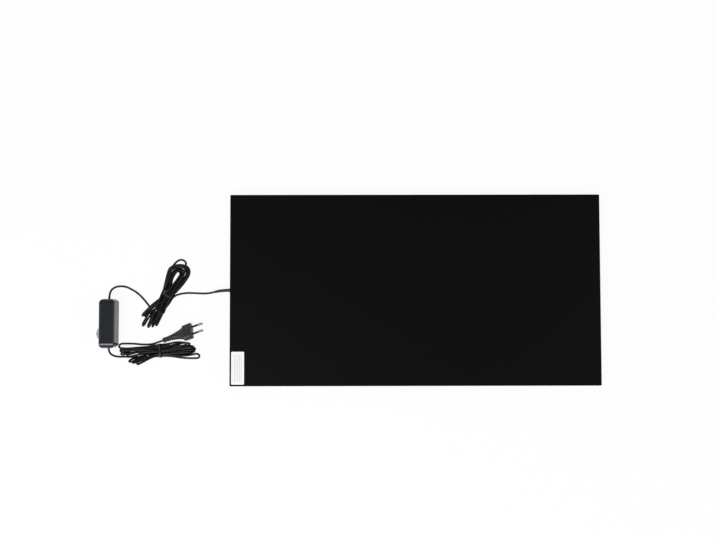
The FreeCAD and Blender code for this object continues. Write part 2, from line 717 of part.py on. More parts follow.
def dimmer_spindle():
    """Shaft that carries the wheel and turns in the potentiometer."""
    foot = in_dimmer(WHEEL_INSET, WHEEL_FROM_MIDDLE, board_top + 1.2)
    shaft = rod(foot, UP, SPINDLE_DIAMETER / 2, wheel_low + WHEEL_THICKNESS + 0.8 - foot.z)
    collar_low = pot_top + CORD_GAP
    collar = rod(in_dimmer(WHEEL_INSET, WHEEL_FROM_MIDDLE, collar_low), UP, SPINDLE_COLLAR / 2,
                 wheel_low - collar_low)
    return shaft.fuse(collar).removeSplitter()


def dimmer_potentiometer():
    body = rounded_box(in_dimmer(WHEEL_INSET - POT_WIDTH / 2, WHEEL_FROM_MIDDLE - POT_LENGTH / 2, board_top),
                       in_dimmer(WHEEL_INSET + POT_WIDTH / 2, WHEEL_FROM_MIDDLE + POT_LENGTH / 2, pot_top), 1.5)
    bore = rod(in_dimmer(WHEEL_INSET, WHEEL_FROM_MIDDLE, board_top + 1), UP, SPINDLE_DIAMETER / 2 + SPINDLE_GAP,
               POT_HEIGHT)
    return body.cut(bore)


def dimmer_board():
    return box(in_dimmer(DIMMER_WALL + BOARD_GAP, -BOARD_LENGTH / 2, BOARD_HEIGHT),
               in_dimmer(DIMMER_DEPTH - DIMMER_WALL - BOARD_GAP, BOARD_LENGTH / 2, board_top))


sink_outer = DIMMER_DEPTH - DIMMER_WALL - BOARD_GAP
sink_inner = sink_outer - HEAT_SINK_THICKNESS


def dimmer_heat_sink():
    return box(in_dimmer(sink_inner, TRIAC_FROM_MIDDLE - 9, board_top),
               in_dimmer(sink_outer, TRIAC_FROM_MIDDLE + 9, board_top + 13.5))


def dimmer_triac():
    body = box(in_dimmer(sink_inner - 4.4, TRIAC_FROM_MIDDLE - 5, board_top + 2),
               in_dimmer(sink_inner, TRIAC_FROM_MIDDLE + 5, board_top + 13))
    legs = [box(in_dimmer(sink_inner - 2.6, TRIAC_FROM_MIDDLE + step - 0.4, board_top),
                in_dimmer(sink_inner - 1.8, TRIAC_FROM_MIDDLE + step + 0.4, board_top + 2))
            for step in (-2.5, 0, 2.5)]
    return body.fuse(legs).removeSplitter()


choke_across = DIMMER_WALL + BOARD_GAP + CHOKE_RADIUS + 0.6
choke_height = 13.0
choke_flange = 1.5


def choke_core():
    base = in_dimmer(choke_across, CHOKE_FROM_MIDDLE, board_top)
    outline = [(0, 0), (0, CHOKE_RADIUS), (choke_flange, CHOKE_RADIUS), (choke_flange, CHOKE_RADIUS * 0.5),
               (choke_height - choke_flange, CHOKE_RADIUS * 0.5), (choke_height - choke_flange, CHOKE_RADIUS),
               (choke_height, CHOKE_RADIUS), (choke_height, 0)]
    return revolved(outline, base, UP, RIGHT)


def choke_winding():
    base = in_dimmer(choke_across, CHOKE_FROM_MIDDLE, board_top + choke_flange + CORD_GAP)
    length = choke_height - 2 * choke_flange - 2 * CORD_GAP
    return rod(base, UP, CHOKE_RADIUS * 0.9, length).cut(rod(base, UP, CHOKE_RADIUS * 0.5 + HOLE_GAP, length))


def dimmer_capacitor():
    low = in_dimmer(DIMMER_WALL + BOARD_GAP + 0.6, CAPACITOR_FROM_MIDDLE - 5.5, board_top)
    return rounded_box(low, low + Vector(6, 11, 11.4), 0.8)


def dimmer_fuse():
    return rod(in_dimmer(DIMMER_WALL + BOARD_GAP + FUSE_RADIUS + 1.2, FUSE_FROM_MIDDLE, board_top), UP,
               FUSE_RADIUS, 7.4)


terminal_outer = DIMMER_DEPTH - DIMMER_WALL - BOARD_GAP - 0.6
pole_across = [terminal_outer - TERMINAL_WIDTH * share for share in (0.75, 0.25)]
core_level = board_top + TERMINAL_HEIGHT / 2


def dimmer_terminals():
    blocks = []
    for end in (-1, 1):
        middle = end * TERMINAL_FROM_MIDDLE
        block = box(in_dimmer(terminal_outer - TERMINAL_WIDTH, middle - TERMINAL_LENGTH / 2, board_top),
                    in_dimmer(terminal_outer, middle + TERMINAL_LENGTH / 2, board_top + TERMINAL_HEIGHT))
        for across in pole_across:
            block = block.cut(rod(in_dimmer(across, middle, core_level), AWAY * end, TERMINAL_BORE / 2,
                                  TERMINAL_LENGTH))
        blocks.append(block)
    return blocks


def dimmer_cord_clamps():
    bars = []
    for end in (-1, 1):
        middle = end * DIMMER_CLAMP_AT
        bar = box(in_dimmer(clamp_across - DIMMER_CLAMP_BAR, middle - DIMMER_CLAMP_LENGTH / 2,
                            cord_level - DIMMER_CLAMP_SPAN / 2),
                  in_dimmer(clamp_across, middle + DIMMER_CLAMP_LENGTH / 2, cord_level + DIMMER_CLAMP_SPAN / 2))
        for start, hole in dimmer_clamp_holes():
            bar = bar.cut(hole)
        bars.append(bar)
    return bars


def dimmer_clamp_screws():
    screws = []
    for start, hole in dimmer_clamp_holes():
        head = rod(start - RIGHT * 1.2, RIGHT, DIMMER_CLAMP_SCREW / 2 + 0.6, 1.2)
        screws.append(head.fuse(rod(start, RIGHT, DIMMER_CLAMP_SCREW / 2, 12)).removeSplitter())
    return screws


tail_start = DIMMER_LENGTH / 2 - DIMMER_WALL


def dimmer_cord_tails():
    return [rod(in_dimmer(DIMMER_DEPTH / 2, end * tail_start, cord_level), AWAY * -end, CORD_RADIUS,
                tail_start - DIMMER_TAIL_END) for end in (-1, 1)]


def dimmer_cores():
    cores = []
    for end in (-1, 1):
        for across, side in zip(pole_across, (-1, 1)):
            near_z = cord_level + side * core_offset
            mouth = TERMINAL_FROM_MIDDLE + TERMINAL_LENGTH / 2
            cores.append(bent_tube([in_dimmer(DIMMER_DEPTH / 2, end * DIMMER_TAIL_END, near_z),
                                    in_dimmer(DIMMER_DEPTH / 2, end * (DIMMER_TAIL_END - 1.8), near_z),
                                    in_dimmer(across, end * (mouth + 1.6), core_level),
                                    in_dimmer(across, end * (mouth - 4), core_level)], CORE_DIAMETER / 2))
    return cores


# Plug, modelled with its pins along +X from the middle of its front face, then laid in place


def plug_section(along, width, thickness):
    """Six-sided section of the moulding, with its two narrow edges bevelled."""
    bevel = 0.32 * thickness
    points = [Vector(along, y, z) for y, z in (
        (-width / 2, -thickness / 2 + bevel), (-width / 2 + bevel, -thickness / 2),
        (width / 2 - bevel, -thickness / 2), (width / 2, -thickness / 2 + bevel),
        (width / 2, thickness / 2 - bevel), (width / 2 - bevel, thickness / 2),
        (-width / 2 + bevel, thickness / 2), (-width / 2, thickness / 2 - bevel))]
    return Part.makePolygon(points + points[:1])


def pin_frame(side):
    """Root point and direction of one pin."""
    toe = math.radians(PIN_TOE_IN)
    return Vector(0, side * PIN_SPACING / 2, 0), Vector(math.cos(toe), -side * math.sin(toe), 0)


def plug_pin(side):
    root, ahead = pin_frame(side)
    full = PIN_DIAMETER / 2
    shank = PIN_SHANK / 2
    outline = [(-PIN_ROOT, 0), (-PIN_ROOT, shank), (PIN_SLEEVE_LENGTH, shank), (PIN_SLEEVE_LENGTH, full),
               (PIN_LENGTH - full * 0.8, full), (PIN_LENGTH - full * 0.3, full * 0.75), (PIN_LENGTH, full * 0.3),
               (PIN_LENGTH, 0)]
    return revolved(outline, root, ahead, UP)


def plug_pin_sleeve(side):
    root, ahead = pin_frame(side)
    start = root - ahead * 2
    length = PIN_SLEEVE_LENGTH + 2
    bore = rod(start, ahead, PIN_SHANK / 2 + HOLE_GAP / 5, length)
    return rod(start, ahead, PIN_SLEEVE_DIAMETER / 2, length).cut(bore)


insert_front = -4.0


def plug_insert_box(grow):
    width = PIN_SPACING + PIN_DIAMETER + 2 + 2 * grow
    thickness = PIN_SHANK + 3 + 2 * grow
    return box(Vector(insert_front - INSERT_LENGTH - grow, -width / 2, -thickness / 2),
               Vector(insert_front + grow, width / 2, thickness / 2))


def plug_insert():
    """Stiff bridge that holds the two pins inside the moulding."""
    bridge = plug_insert_box(0)
    for side in (-1, 1):
        root, ahead = pin_frame(side)
        bridge = bridge.cut(rod(root - ahead * (PIN_ROOT + 6), ahead, PIN_SHANK / 2 + HOLE_GAP, PIN_ROOT + 6))
    return bridge


tail_root = PLUG_BODY_LENGTH
tail_tip = PLUG_BODY_LENGTH + PLUG_TAIL_LENGTH


def plug_body():
    """Moulded body that tapers to a ribbed, flexible tail."""
    middle = (PLUG_SHOULDER + PLUG_BODY_LENGTH) / 2
    sections = [plug_section(0, PLUG_WIDTH - 1.5, PLUG_THICKNESS - 1.5),
                plug_section(-1.2, PLUG_WIDTH, PLUG_THICKNESS),
                plug_section(-PLUG_SHOULDER, PLUG_WIDTH, PLUG_THICKNESS),
                plug_section(-middle, (PLUG_WIDTH + PLUG_NECK_WIDTH) / 2, PLUG_THICKNESS * 0.9),
                plug_section(-PLUG_BODY_LENGTH, PLUG_NECK_WIDTH, PLUG_NECK_THICKNESS)]
    body = Part.makeLoft(sections, True, True)
    pitch = PLUG_TAIL_LENGTH / PLUG_TAIL_RIBS
    outline = [(PLUG_BODY_LENGTH - 1, 0)]
    for rib in range(PLUG_TAIL_RIBS):
        share = rib / (PLUG_TAIL_RIBS - 1)
        outer = (PLUG_NECK_THICKNESS * (1 - share) + (PLUG_TAIL_END + 1) * share) / 2 - 0.2
        inner = PLUG_TAIL_END / 2
        start = tail_root + rib * pitch if rib else tail_root - 1
        groove = tail_root + (rib + 0.6) * pitch
        outline += [(start, outer), (groove, outer), (groove, inner)]
        if rib < PLUG_TAIL_RIBS - 1:
            outline.append((tail_root + (rib + 1) * pitch, inner))
    outline += [(tail_tip, PLUG_TAIL_END / 2), (tail_tip, 0)]
    body = body.fuse(revolved(outline, Vector(0, 0, 0), -RIGHT, UP)).removeSplitter()
    body = body.cut(plug_insert_box(CORD_GAP))
    for side in (-1, 1):
        root, ahead = pin_frame(side)
        body = body.cut(rod(root - ahead * 5, ahead, PIN_SLEEVE_DIAMETER / 2 + HOLE_GAP, 10))
        body = body.cut(rod(root - ahead * (PIN_ROOT + 5), ahead, PIN_SHANK / 2 + HOLE_GAP, PIN_ROOT + 5))
    return body


def plug_placement(body):
    """Turn the plug to its heading and roll, and set its lowest edge on the surface."""
    turn = FreeCAD.Rotation(UP, PLUG_HEADING).multiply(FreeCAD.Rotation(RIGHT, PLUG_ROLL))
    turned = body.copy()
    turned.Placement = FreeCAD.Placement(Vector(0, 0, 0), turn)
    lift = -turned.optimalBoundingBox(False).ZMin + CORD_GAP
    return FreeCAD.Placement(cord_point(PLUG_FRONT_OUT, PLUG_FRONT_Y, lift), turn)


# Hanks

strand_step = CORD_DIAMETER + STRAND_GAP
layer_step = CORD_DIAMETER + LAYER_GAP
waist_lift = TIE_THICKNESS + TIE_GAP + 0.1
half_turns = 2 * HANK_LOOPS_PER_LAYER
outer_rank = HANK_LOOPS_PER_LAYER - 0.25


def hank_axes(hank):
    """Middle of the waist, direction of the head end, and direction of the side that starts."""
    angle = math.radians(hank["heading"])
    along = Vector(math.cos(angle), math.sin(angle), 0)
    across = Vector(math.sin(angle), -math.cos(angle), 0) * hank["side"]
    return cord_point(hank["out"], hank["y"], 0), along, across


def hank_runs(hank):
    """Passes of the cord along the hank, each as stations (along, across, height, heading).

    The loops spiral in on one layer and out on the next, and climb in the head turn between them.
    """
    runs = []
    for layer in range(HANK_LAYERS):
        height = LIE + layer * layer_step
        last = layer == HANK_LAYERS - 1
        head = hank["head_reach"]
        foot = -hank["foot_reach"] - hank["foot_extra"][layer]
        for turn in range(half_turns):
            rank = outer_rank - turn / 2 if layer % 2 == 0 else 0.25 + turn / 2
            side = 1 if turn % 2 == 0 else -1
            reach = head + (hank["last_head_extra"] if last and turn in (1, 2) else 0)
            if rank in (0.25, outer_rank):
                reach += HEAD_SPREAD if rank == outer_rank else -HEAD_SPREAD
            stations = [(reach, side * (hank["head_core"] + hank["head_step"] * rank), height, -side),
                        (0, side * strand_step * rank, height + waist_lift, -side),
                        (foot, side * (hank["foot_core"] + hank["foot_step"] * rank) + hank["foot_shift"][layer],
                         height, -side)]
            runs.append(stations if side == 1 else stations[::-1])
    return runs


def hank_path(hank, stations, leaving_turn):
    """Edges through the stations: a pair of tangent arcs, or a straight line, between each two.

    The last station's heading is turned by the given angle, and a straight end is added to it.
    """
    middle, along, across = hank_axes(hank)
    placed = [(middle + along * u + across * v + UP * z, along * heading) for u, v, z, heading in stations]
    end, heading = placed[-1]
    heading = FreeCAD.Rotation(UP, leaving_turn).multVec(heading)
    placed[-1:] = [(end, heading), (end + heading * CORD_DIAMETER, heading)]
    edges = []
    for (start, leaving), (end, arriving) in zip(placed, placed[1:]):
        step = end - start
        turn = 2 * (1 - leaving.dot(arriving))
        ahead = 2 * step.dot(leaving + arriving)
        if turn > 1e-9:
            leg = (-ahead + math.sqrt(ahead ** 2 + 4 * turn * step.dot(step))) / (2 * turn)
        else:
            leg = step.dot(step) / ahead
        first = start + leaving * leg
        second = end - arriving * leg
        join = (first + second) * 0.5
        if (step - leaving * step.dot(leaving)).Length < 1e-6:
            edges.append(Part.LineSegment(start, end).toShape())
        else:
            edges += [arc_or_line(start, first, join), arc_or_line(join, second, end)]
    return edges, placed


def least_gap(edges):
    """Least distance between the surfaces of different stretches of the cord, on points 1 mm apart."""
    points = []
    travelled = 0.0
    previous = None
    for edge in edges:
        count = max(2, int(edge.Length))
        samples = edge.discretize(count)
        if previous and samples[0].distanceToPoint(previous) > 0.01:
            samples.reverse()
        previous = samples[-1]
        for index, point in enumerate(samples[:-1]):
            points.append((travelled + edge.Length * index / (count - 1), point))
        travelled += edge.Length
    cell = 3 * CORD_DIAMETER
    cells = {}
    for along, point in points:
        cells.setdefault((int(point.x // cell), int(point.y // cell)), []).append((along, point))
    least = cell
    for (cx, cy), members in cells.items():
        near = [other for dx in (-1, 0, 1) for dy in (-1, 0, 1) for other in cells.get((cx + dx, cy + dy), [])]
        for along, point in members:
            for other_along, other in near:
                if other_along - along > 3 * CORD_DIAMETER:
                    least = min(least, point.distanceToPoint(other))
    return least - CORD_DIAMETER


def hank_solid(hank, stations, leaving_turn, name):
    edges, placed = hank_path(hank, stations, leaving_turn)
    solid = tube(edges, CORD_RADIUS, placed[0][0], placed[0][1])
    length = sum(edge.Length for edge in edges)
    share = solid.Volume / (math.pi * CORD_RADIUS ** 2 * length)
    print(name, "length", round(length, 1), "volume", round(share, 5), "least gap", round(least_gap(edges), 2))
    return solid, placed[0], placed[-1]


def panel_hank():
    runs = hank_runs(PANEL_HANK)
    u, v = PANEL_HANK_START
    height = LIE + waist_lift / 2
    runs[0] = [(u, v, height, -1), (u - CORD_DIAMETER, v, height, -1), runs[0][2]]
    foot = runs[-2][2]
    runs[-2][2] = (foot[0] - PANEL_HANK_LAST_FOOT,) + foot[1:]
    runs[-1] = [PANEL_HANK_LEAVES + (foot[2], 1)]
    stations = [station for run in runs for station in run]
    return hank_solid(PANEL_HANK, stations, PANEL_HANK_LEAVING_TURN, "panel hank")


def mains_hank():
    runs = hank_runs(MAINS_HANK)
    head = runs[0][0]
    runs[0].insert(0, (head[0] + CORD_DIAMETER, head[1], head[2], -1))
    head = runs[-1][-1]
    turn = head[0] + MAINS_HANK_TURN_BACK
    back = head[1] - MAINS_HANK_TURN_WIDTH
    runs[-1] += [(turn, head[1], head[2], 1), (turn, back, LIE, -1)]
    return hank_solid(MAINS_HANK, [station for run in runs for station in run], 0, "mains hank")


def hank_tie(hank):
    """Band round the waist, closed by a twisted stub that lies on top of the strands."""
    half = strand_step * outer_rank + CORD_RADIUS + 2 * TIE_GAP
    top = LIE + (HANK_LAYERS - 1) * layer_step + waist_lift + CORD_RADIUS + TIE_GAP
    floor = waist_lift - TIE_GAP
    skin = TIE_THICKNESS
    low = Vector(hank["tie_at"] - TIE_WIDTH / 2, -half, floor)
    high = Vector(hank["tie_at"] + TIE_WIDTH / 2, half, top)
    band = box(low - Vector(0, skin, skin), high + Vector(0, skin, skin))
    band = band.makeFillet(2 * skin, edges_where(band, lambda b: b.YLength < 1e-4 and b.ZLength < 1e-4))
    band = band.cut(box(low - RIGHT, high + RIGHT))
    stub_radius = 1.4 * skin
    stub = rod(Vector(hank["tie_at"], half / 3, top + stub_radius), RIGHT, stub_radius, TIE_STUB_LENGTH)
    tie = band.fuse(stub).removeSplitter()
    tie.Placement = FreeCAD.Placement(cord_point(hank["out"], hank["y"], 0),
                                      FreeCAD.Rotation(UP, hank["heading"]))
    return tie


# Free stretches of cord


def panel_cord(end):
    """From inside the sleeve to the first hank."""
    finish, heading = end
    drop = OUTLET_HEIGHT - LIE
    points = [outlet - RIGHT * TAIL_MEETS_CORD, outlet - RIGHT * (SLEEVE_LENGTH + 9),
              cord_point(51, -3.0, LIE + 0.4 * drop), cord_point(66, -4.4), cord_point(80, -4.5),
              cord_point(95.5, -9.5), finish - heading * 10, finish]
    return bent_tube(points, CORD_RADIUS, "panel cord")


def dimmer_cord(start):
    """From the first hank to the dimmer's upper end."""
    begin, heading = start
    inlet = in_dimmer(DIMMER_DEPTH / 2, tail_start, cord_level)
    points = [begin, begin + heading * 16, cord_point(156, -5.5, 5.0), cord_point(170, 4.5, LIE),
              cord_point(184.5, 10.5, 5.0), inlet + Vector(5.5, 22.6, -4), inlet + AWAY * 12, inlet]
    return bent_tube(points, CORD_RADIUS, "dimmer cord")


def mains_cord(end):
    """From the dimmer's lower end to the second hank."""
    finish, heading = end
    inlet = in_dimmer(DIMMER_DEPTH / 2, -tail_start, cord_level)
    points = [inlet, inlet - AWAY * 9.5, inlet + Vector(6.5, -17, -3), cord_point(185.5, -115.6, 7.0),
              finish - heading * 9, finish]
    return bent_tube(points, CORD_RADIUS, "mains cord")


def plug_cord(start, plug_tail, plug_ahead):
    """From the second hank's last turn, back along the hank, to the plug's tail."""
    begin, heading = start
    points = [begin, begin + heading * 12, cord_point(151, -90.4), cord_point(136.5, -90.3, 5.5),
              plug_tail - plug_ahead * 11, plug_tail]
    return bent_tube(points, CORD_RADIUS, "plug cord")


def build():
    os.makedirs("parts", exist_ok=True)

    holes = [rivet_hole(seat, inward) for seat, inward in rivet_seats()] + [bushing_hole]
    save("back_pan", back_pan().cut(holes))
    save("face_pan", face_pan().cut(holes))
    save("casing_rivets", *[rivet(seat, inward) for seat, inward in rivet_seats()])
    save("back_label", label())
    save("heating_mat", stack_sheet(FACE_SHEET, mat_top).cut(splice_relief()))
    save("heating_cable", heating_cable())
    save("reflector_foil", stack_sheet(foil_low, board_low).cut(pocket(foil_low, board_low)))
    save("insulation_board", stack_sheet(board_low, board_high).cut(pocket(board_low, board_high)))

    save("wiring_plate", wiring_plate())
    save("cord_clamp", cord_clamp())
    save("cord_clamp_screws", *cord_clamp_screws())
    save("terminal_block", terminal_block())
    save("terminal_screws", *terminal_screws())
    save("thermal_limiter", thermal_limiter())
    save("element_leads", *element_leads())
    save("lead_splice", lead_splice())
    save("cord_bushing", cord_bushing())
    save("cord_tail", cord_tail())
    save("cord_cores", *cord_cores())

    outer, hollow = dimmer_case()
    save("dimmer_cover", dimmer_cover(outer, hollow))
    save("dimmer_base", dimmer_base(outer, hollow))
    save("dimmer_screws", *dimmer_screws())
    save("dimmer_wheel", dimmer_wheel())
    save("dimmer_spindle", dimmer_spindle())
    save("dimmer_potentiometer", dimmer_potentiometer())
    save("dimmer_board", dimmer_board())
    save("dimmer_heat_sink", dimmer_heat_sink())
    save("dimmer_triac", dimmer_triac())
    save("choke_core", choke_core())
    save("choke_winding", choke_winding())
    save("dimmer_capacitor", dimmer_capacitor())
    save("dimmer_fuse", dimmer_fuse())
    save("dimmer_terminals", *dimmer_terminals())
    save("dimmer_cord_clamps", *dimmer_cord_clamps())
    save("dimmer_clamp_screws", *dimmer_clamp_screws())
    save("dimmer_cord_tails", *dimmer_cord_tails())
    save("dimmer_cores", *dimmer_cores())

    body = plug_body()
    place = plug_placement(body)
    plug = {"plug_body": [body], "plug_insert": [plug_insert()],
            "plug_pins": [plug_pin(side) for side in (-1, 1)],
            "plug_pin_sleeves": [plug_pin_sleeve(side) for side in (-1, 1)]}
    for name, shapes in plug.items():
        for shape in shapes:
            shape.Placement = place.multiply(shape.Placement)
        save(name, *shapes)
    plug_ahead = place.Rotation.multVec(RIGHT)
    plug_tail = place.multVec(RIGHT * -tail_tip)

    first_hank, first_start, first_end = panel_hank()
    save("panel_cord_hank", first_hank)
    save("panel_hank_tie", hank_tie(PANEL_HANK))
    save("panel_cord", panel_cord(first_start))
    save("dimmer_cord", dimmer_cord(first_end))
    second_hank, second_start, second_end = mains_hank()
    save("mains_cord_hank", second_hank)
    save("mains_hank_tie", hank_tie(MAINS_HANK))
    save("mains_cord", mains_cord(second_start))
    save("plug_cord", plug_cord(second_end, plug_tail, plug_ahead))


build()
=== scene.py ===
import math

import bpy
from mathutils import Euler, Matrix, Vector


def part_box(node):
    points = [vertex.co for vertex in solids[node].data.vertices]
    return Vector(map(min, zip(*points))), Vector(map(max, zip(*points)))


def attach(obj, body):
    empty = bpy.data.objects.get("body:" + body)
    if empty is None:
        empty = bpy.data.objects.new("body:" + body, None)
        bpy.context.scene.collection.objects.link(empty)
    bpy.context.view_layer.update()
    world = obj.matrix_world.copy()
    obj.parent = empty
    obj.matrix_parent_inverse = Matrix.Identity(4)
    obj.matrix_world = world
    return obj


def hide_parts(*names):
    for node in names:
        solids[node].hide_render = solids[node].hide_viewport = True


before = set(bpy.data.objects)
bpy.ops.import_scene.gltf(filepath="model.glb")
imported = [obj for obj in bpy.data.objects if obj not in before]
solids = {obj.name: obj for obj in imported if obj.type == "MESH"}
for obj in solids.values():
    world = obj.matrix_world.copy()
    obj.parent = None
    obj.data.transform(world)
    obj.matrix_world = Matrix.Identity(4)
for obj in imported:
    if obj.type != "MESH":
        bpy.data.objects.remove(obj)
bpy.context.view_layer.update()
bpy.context.scene.view_settings.view_transform = "Standard"

# Viewpoint: a tripod almost straight above the panel, a little in front of its middle and
# towards the cord, with a 40 mm lens.
camera_place = (-0.0987, -0.0199, 1.3488)
camera_turn = (2.296, -0.125, -0.099)


def turned(degrees):
    """Turn about X, Y and Z, given in degrees."""
    return Euler([math.radians(angle) for angle in degrees])


bpy.ops.object.select_all(action="DESELECT")
bpy.ops.object.camera_add(location=camera_place)
overhead_camera = bpy.context.object
overhead_camera.rotation_euler = turned(camera_turn)
overhead_camera.data.lens = 40
overhead_camera.data.sensor_width = 36
overhead_camera.data.clip_end = 50
bpy.context.scene.camera = overhead_camera

# Studio: a white table top under soft boxes at the sides, dim straight overhead so that
# the dark paint stays dark. The table shows white and still takes the object's shadow.
room_light = 0.32
table_glow = 0.93
table_gap = 0.0004


def mixed(tree, share, first, second):
    """Shows the second of two shaders by a share from 0 to 1, and the first by the rest."""
    mix = tree.nodes.new("ShaderNodeMixShader")
    tree.links.new(share, mix.inputs["Fac"])
    tree.links.new(first.outputs[0], mix.inputs[1])
    tree.links.new(second.outputs[0], mix.inputs[2])
    return mix.outputs[0]


def reckon(tree, operation, first, second=0):
    """One arithmetic step of a material on two numbers or sockets."""
    step = tree.nodes.new("ShaderNodeMath")
    step.operation = operation
    for socket, value in zip(step.inputs, (first, second)):
        if isinstance(value, (int, float)):
            socket.default_value = value
        else:
            tree.links.new(value, socket)
    return step.outputs[0]


studio = bpy.data.worlds.new("studio")
bpy.context.scene.world = studio
studio.use_nodes = True
room = studio.node_tree
sky = room.nodes["Background"]
sky.inputs["Color"].default_value = (1, 1, 1, 1)
sky.inputs["Strength"].default_value = room_light
backdrop = room.nodes.new("ShaderNodeBackground")
backdrop.inputs["Color"].default_value = (1, 1, 1, 1)
backdrop.inputs["Strength"].default_value = 1
room_ray = room.nodes.new("ShaderNodeLightPath")
room_shown = mixed(room, room_ray.outputs["Is Camera Ray"], sky, backdrop)
room.links.new(room_shown, room.nodes["World Output"].inputs["Surface"])

for name, place, turn, width, height, watts in (
    ("left_softbox", (-1.9, -0.5, 1.5), (0, -52, 0), 1.6, 1.6, 11),
    ("right_softbox", (1.7, -0.7, 1.4), (0, 52, 0), 1.6, 1.6, 19),
    ("front_softbox", (-1.0, -1.2, 1.7), (37, 0, -28), 0.7, 1.2, 27),
    ("back_softbox", (0.2, 1.9, 1.7), (-50, 0, 0), 1.6, 1.6, 7),
):
    bpy.ops.object.light_add(type="AREA", location=place)
    lamp = bpy.context.object
    lamp.name = name
    lamp.rotation_euler = turned(turn)
    lamp.data.shape = "RECTANGLE"
    lamp.data.size = width
    lamp.data.size_y = height
    lamp.data.energy = watts

bpy.ops.mesh.primitive_plane_add(size=14, location=(0, 0, -table_gap))
table_top = bpy.context.object
table_top.name = "table_top"
white_paper = bpy.data.materials.new("white_paper")
white_paper.use_nodes = True
table_tree = white_paper.node_tree
paper = table_tree.nodes["Principled BSDF"]
paper.inputs["Base Color"].default_value = (0.88, 0.88, 0.88, 1)
paper.inputs["Roughness"].default_value = 0.9
glow = table_tree.nodes.new("ShaderNodeEmission")
glow.inputs["Strength"].default_value = 1
table_ray = table_tree.nodes.new("ShaderNodeLightPath")
seen = reckon(table_tree, "MAXIMUM", table_ray.outputs["Is Camera Ray"], table_ray.outputs["Is Glossy Ray"])
seen_or_through = reckon(table_tree, "MAXIMUM", seen, table_ray.outputs["Is Transmission Ray"])
glow_share = reckon(table_tree, "MULTIPLY", seen_or_through, table_glow)
table_shown = mixed(table_tree, glow_share, paper, glow)
table_tree.links.new(table_shown, table_tree.nodes["Material Output"].inputs["Surface"])
table_top.data.materials.append(white_paper)

# Cord from the panel to the dimmer: round twin-core flex in black PVC. It leaves the sleeve, is
# folded into a hank of flat loops with one loop standing out, and runs on to the dimmer's top end.
cord_diameter = 3.4


def surface(name, dark, light, grain, roughness, bump=0.0, **sockets):
    """Finish whose colour drifts between two shades over a grain, in cycles per metre, with a relief."""
    made = bpy.data.materials.new(name)
    made.use_nodes = True
    nodes = made.node_tree.nodes
    links = made.node_tree.links
    shader = nodes["Principled BSDF"]
    where = nodes.new("ShaderNodeTexCoord")
    noise = nodes.new("ShaderNodeTexNoise")
    noise.inputs["Scale"].default_value = grain
    noise.inputs["Detail"].default_value = 5
    shades = nodes.new("ShaderNodeValToRGB")
    shades.color_ramp.elements[0].position = 0.3
    shades.color_ramp.elements[1].position = 0.7
    shades.color_ramp.elements[0].color = (*dark, 1)
    shades.color_ramp.elements[1].color = (*light, 1)
    links.new(where.outputs["Object"], noise.inputs["Vector"])
    links.new(noise.outputs["Fac"], shades.inputs["Fac"])
    links.new(shades.outputs["Color"], shader.inputs["Base Color"])
    shader.inputs["Roughness"].default_value = roughness
    for socket, value in sockets.items():
        shader.inputs[socket.replace("_", " ")].default_value = value
    if bump:
        relief = nodes.new("ShaderNodeBump")
        relief.inputs["Strength"].default_value = 0.5
        relief.inputs["Distance"].default_value = bump
        links.new(noise.outputs["Fac"], relief.inputs["Height"])
        links.new(relief.outputs["Normal"], shader.inputs["Normal"])
    return made


black_sheath = surface("black_sheath", (0.0030, 0.0030, 0.0034), (0.0060, 0.0060, 0.0066),
                       grain=900, roughness=0.36, bump=0.00004, Specular_IOR_Level=0.2)


def fold(tip, half_width, lean, heights, side_in):
    """Control points round one end of a hank, in its own along, across and height.

    The tip is at the head where its first number is positive, else at the foot. lean is how many degrees
    the loop points aside. The strand comes in at the first of the two heights, on the side that side_in
    names, and goes out at the second.
    """
    parts = 6
    end = 1 if tip[0] > 0 else -1
    lean = math.radians(lean)
    outward = Vector((end * math.cos(lean), math.sin(lean)))
    aside = Vector((-end * math.sin(lean), math.cos(lean))) * side_in * half_width
    half_rise = (heights[1] - heights[0]) / 2
    reach = math.hypot(half_width, half_rise)
    middle = Vector(tip) - outward * reach
    points = []
    for step in range(parts + 1):
        turn = math.pi * step / parts
        place = middle + outward * reach * math.sin(turn) + aside * math.cos(turn)
        points.append((*place, (heights[0] + heights[1]) / 2 - half_rise * math.cos(turn)))
    return points


def on_table(points, middle, heading, side):
    """Points of a hank put in their place on the table."""
    heading = math.radians(heading)
    along = Vector((math.cos(heading), math.sin(heading), 0))
    across = Vector((math.sin(heading), -math.cos(heading), 0)) * side
    return [Vector((*middle, z)) + along * u + across * v for u, v, z in points]


def lay_cord(name, route):
    """One smooth tube along the route, given in millimetres."""
    line = bpy.data.curves.new(name, "CURVE")
    line.dimensions = "3D"
    spline = line.splines.new("NURBS")
    spline.points.add(len(route) - 1)
    for point, place in zip(spline.points, route):
        point.co = (place[0] / 1000, place[1] / 1000, place[2] / 1000, 1)
    spline.order_u = 3
    spline.use_endpoint_u = True
    line.resolution_u = 5
    line.bevel_depth = cord_diameter / 2000
    line.bevel_resolution = 4
    line.use_fill_caps = True
    line.materials.append(black_sheath)
    laid = bpy.data.objects.new(name, line)
    bpy.context.scene.collection.objects.link(laid)
    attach(laid, "heater")
    return laid


# The hank's middle on the table, its heading in degrees, and the side of the heading that across is on.
panel_hank_place = ((-421, -9.5), 65.5, 1)

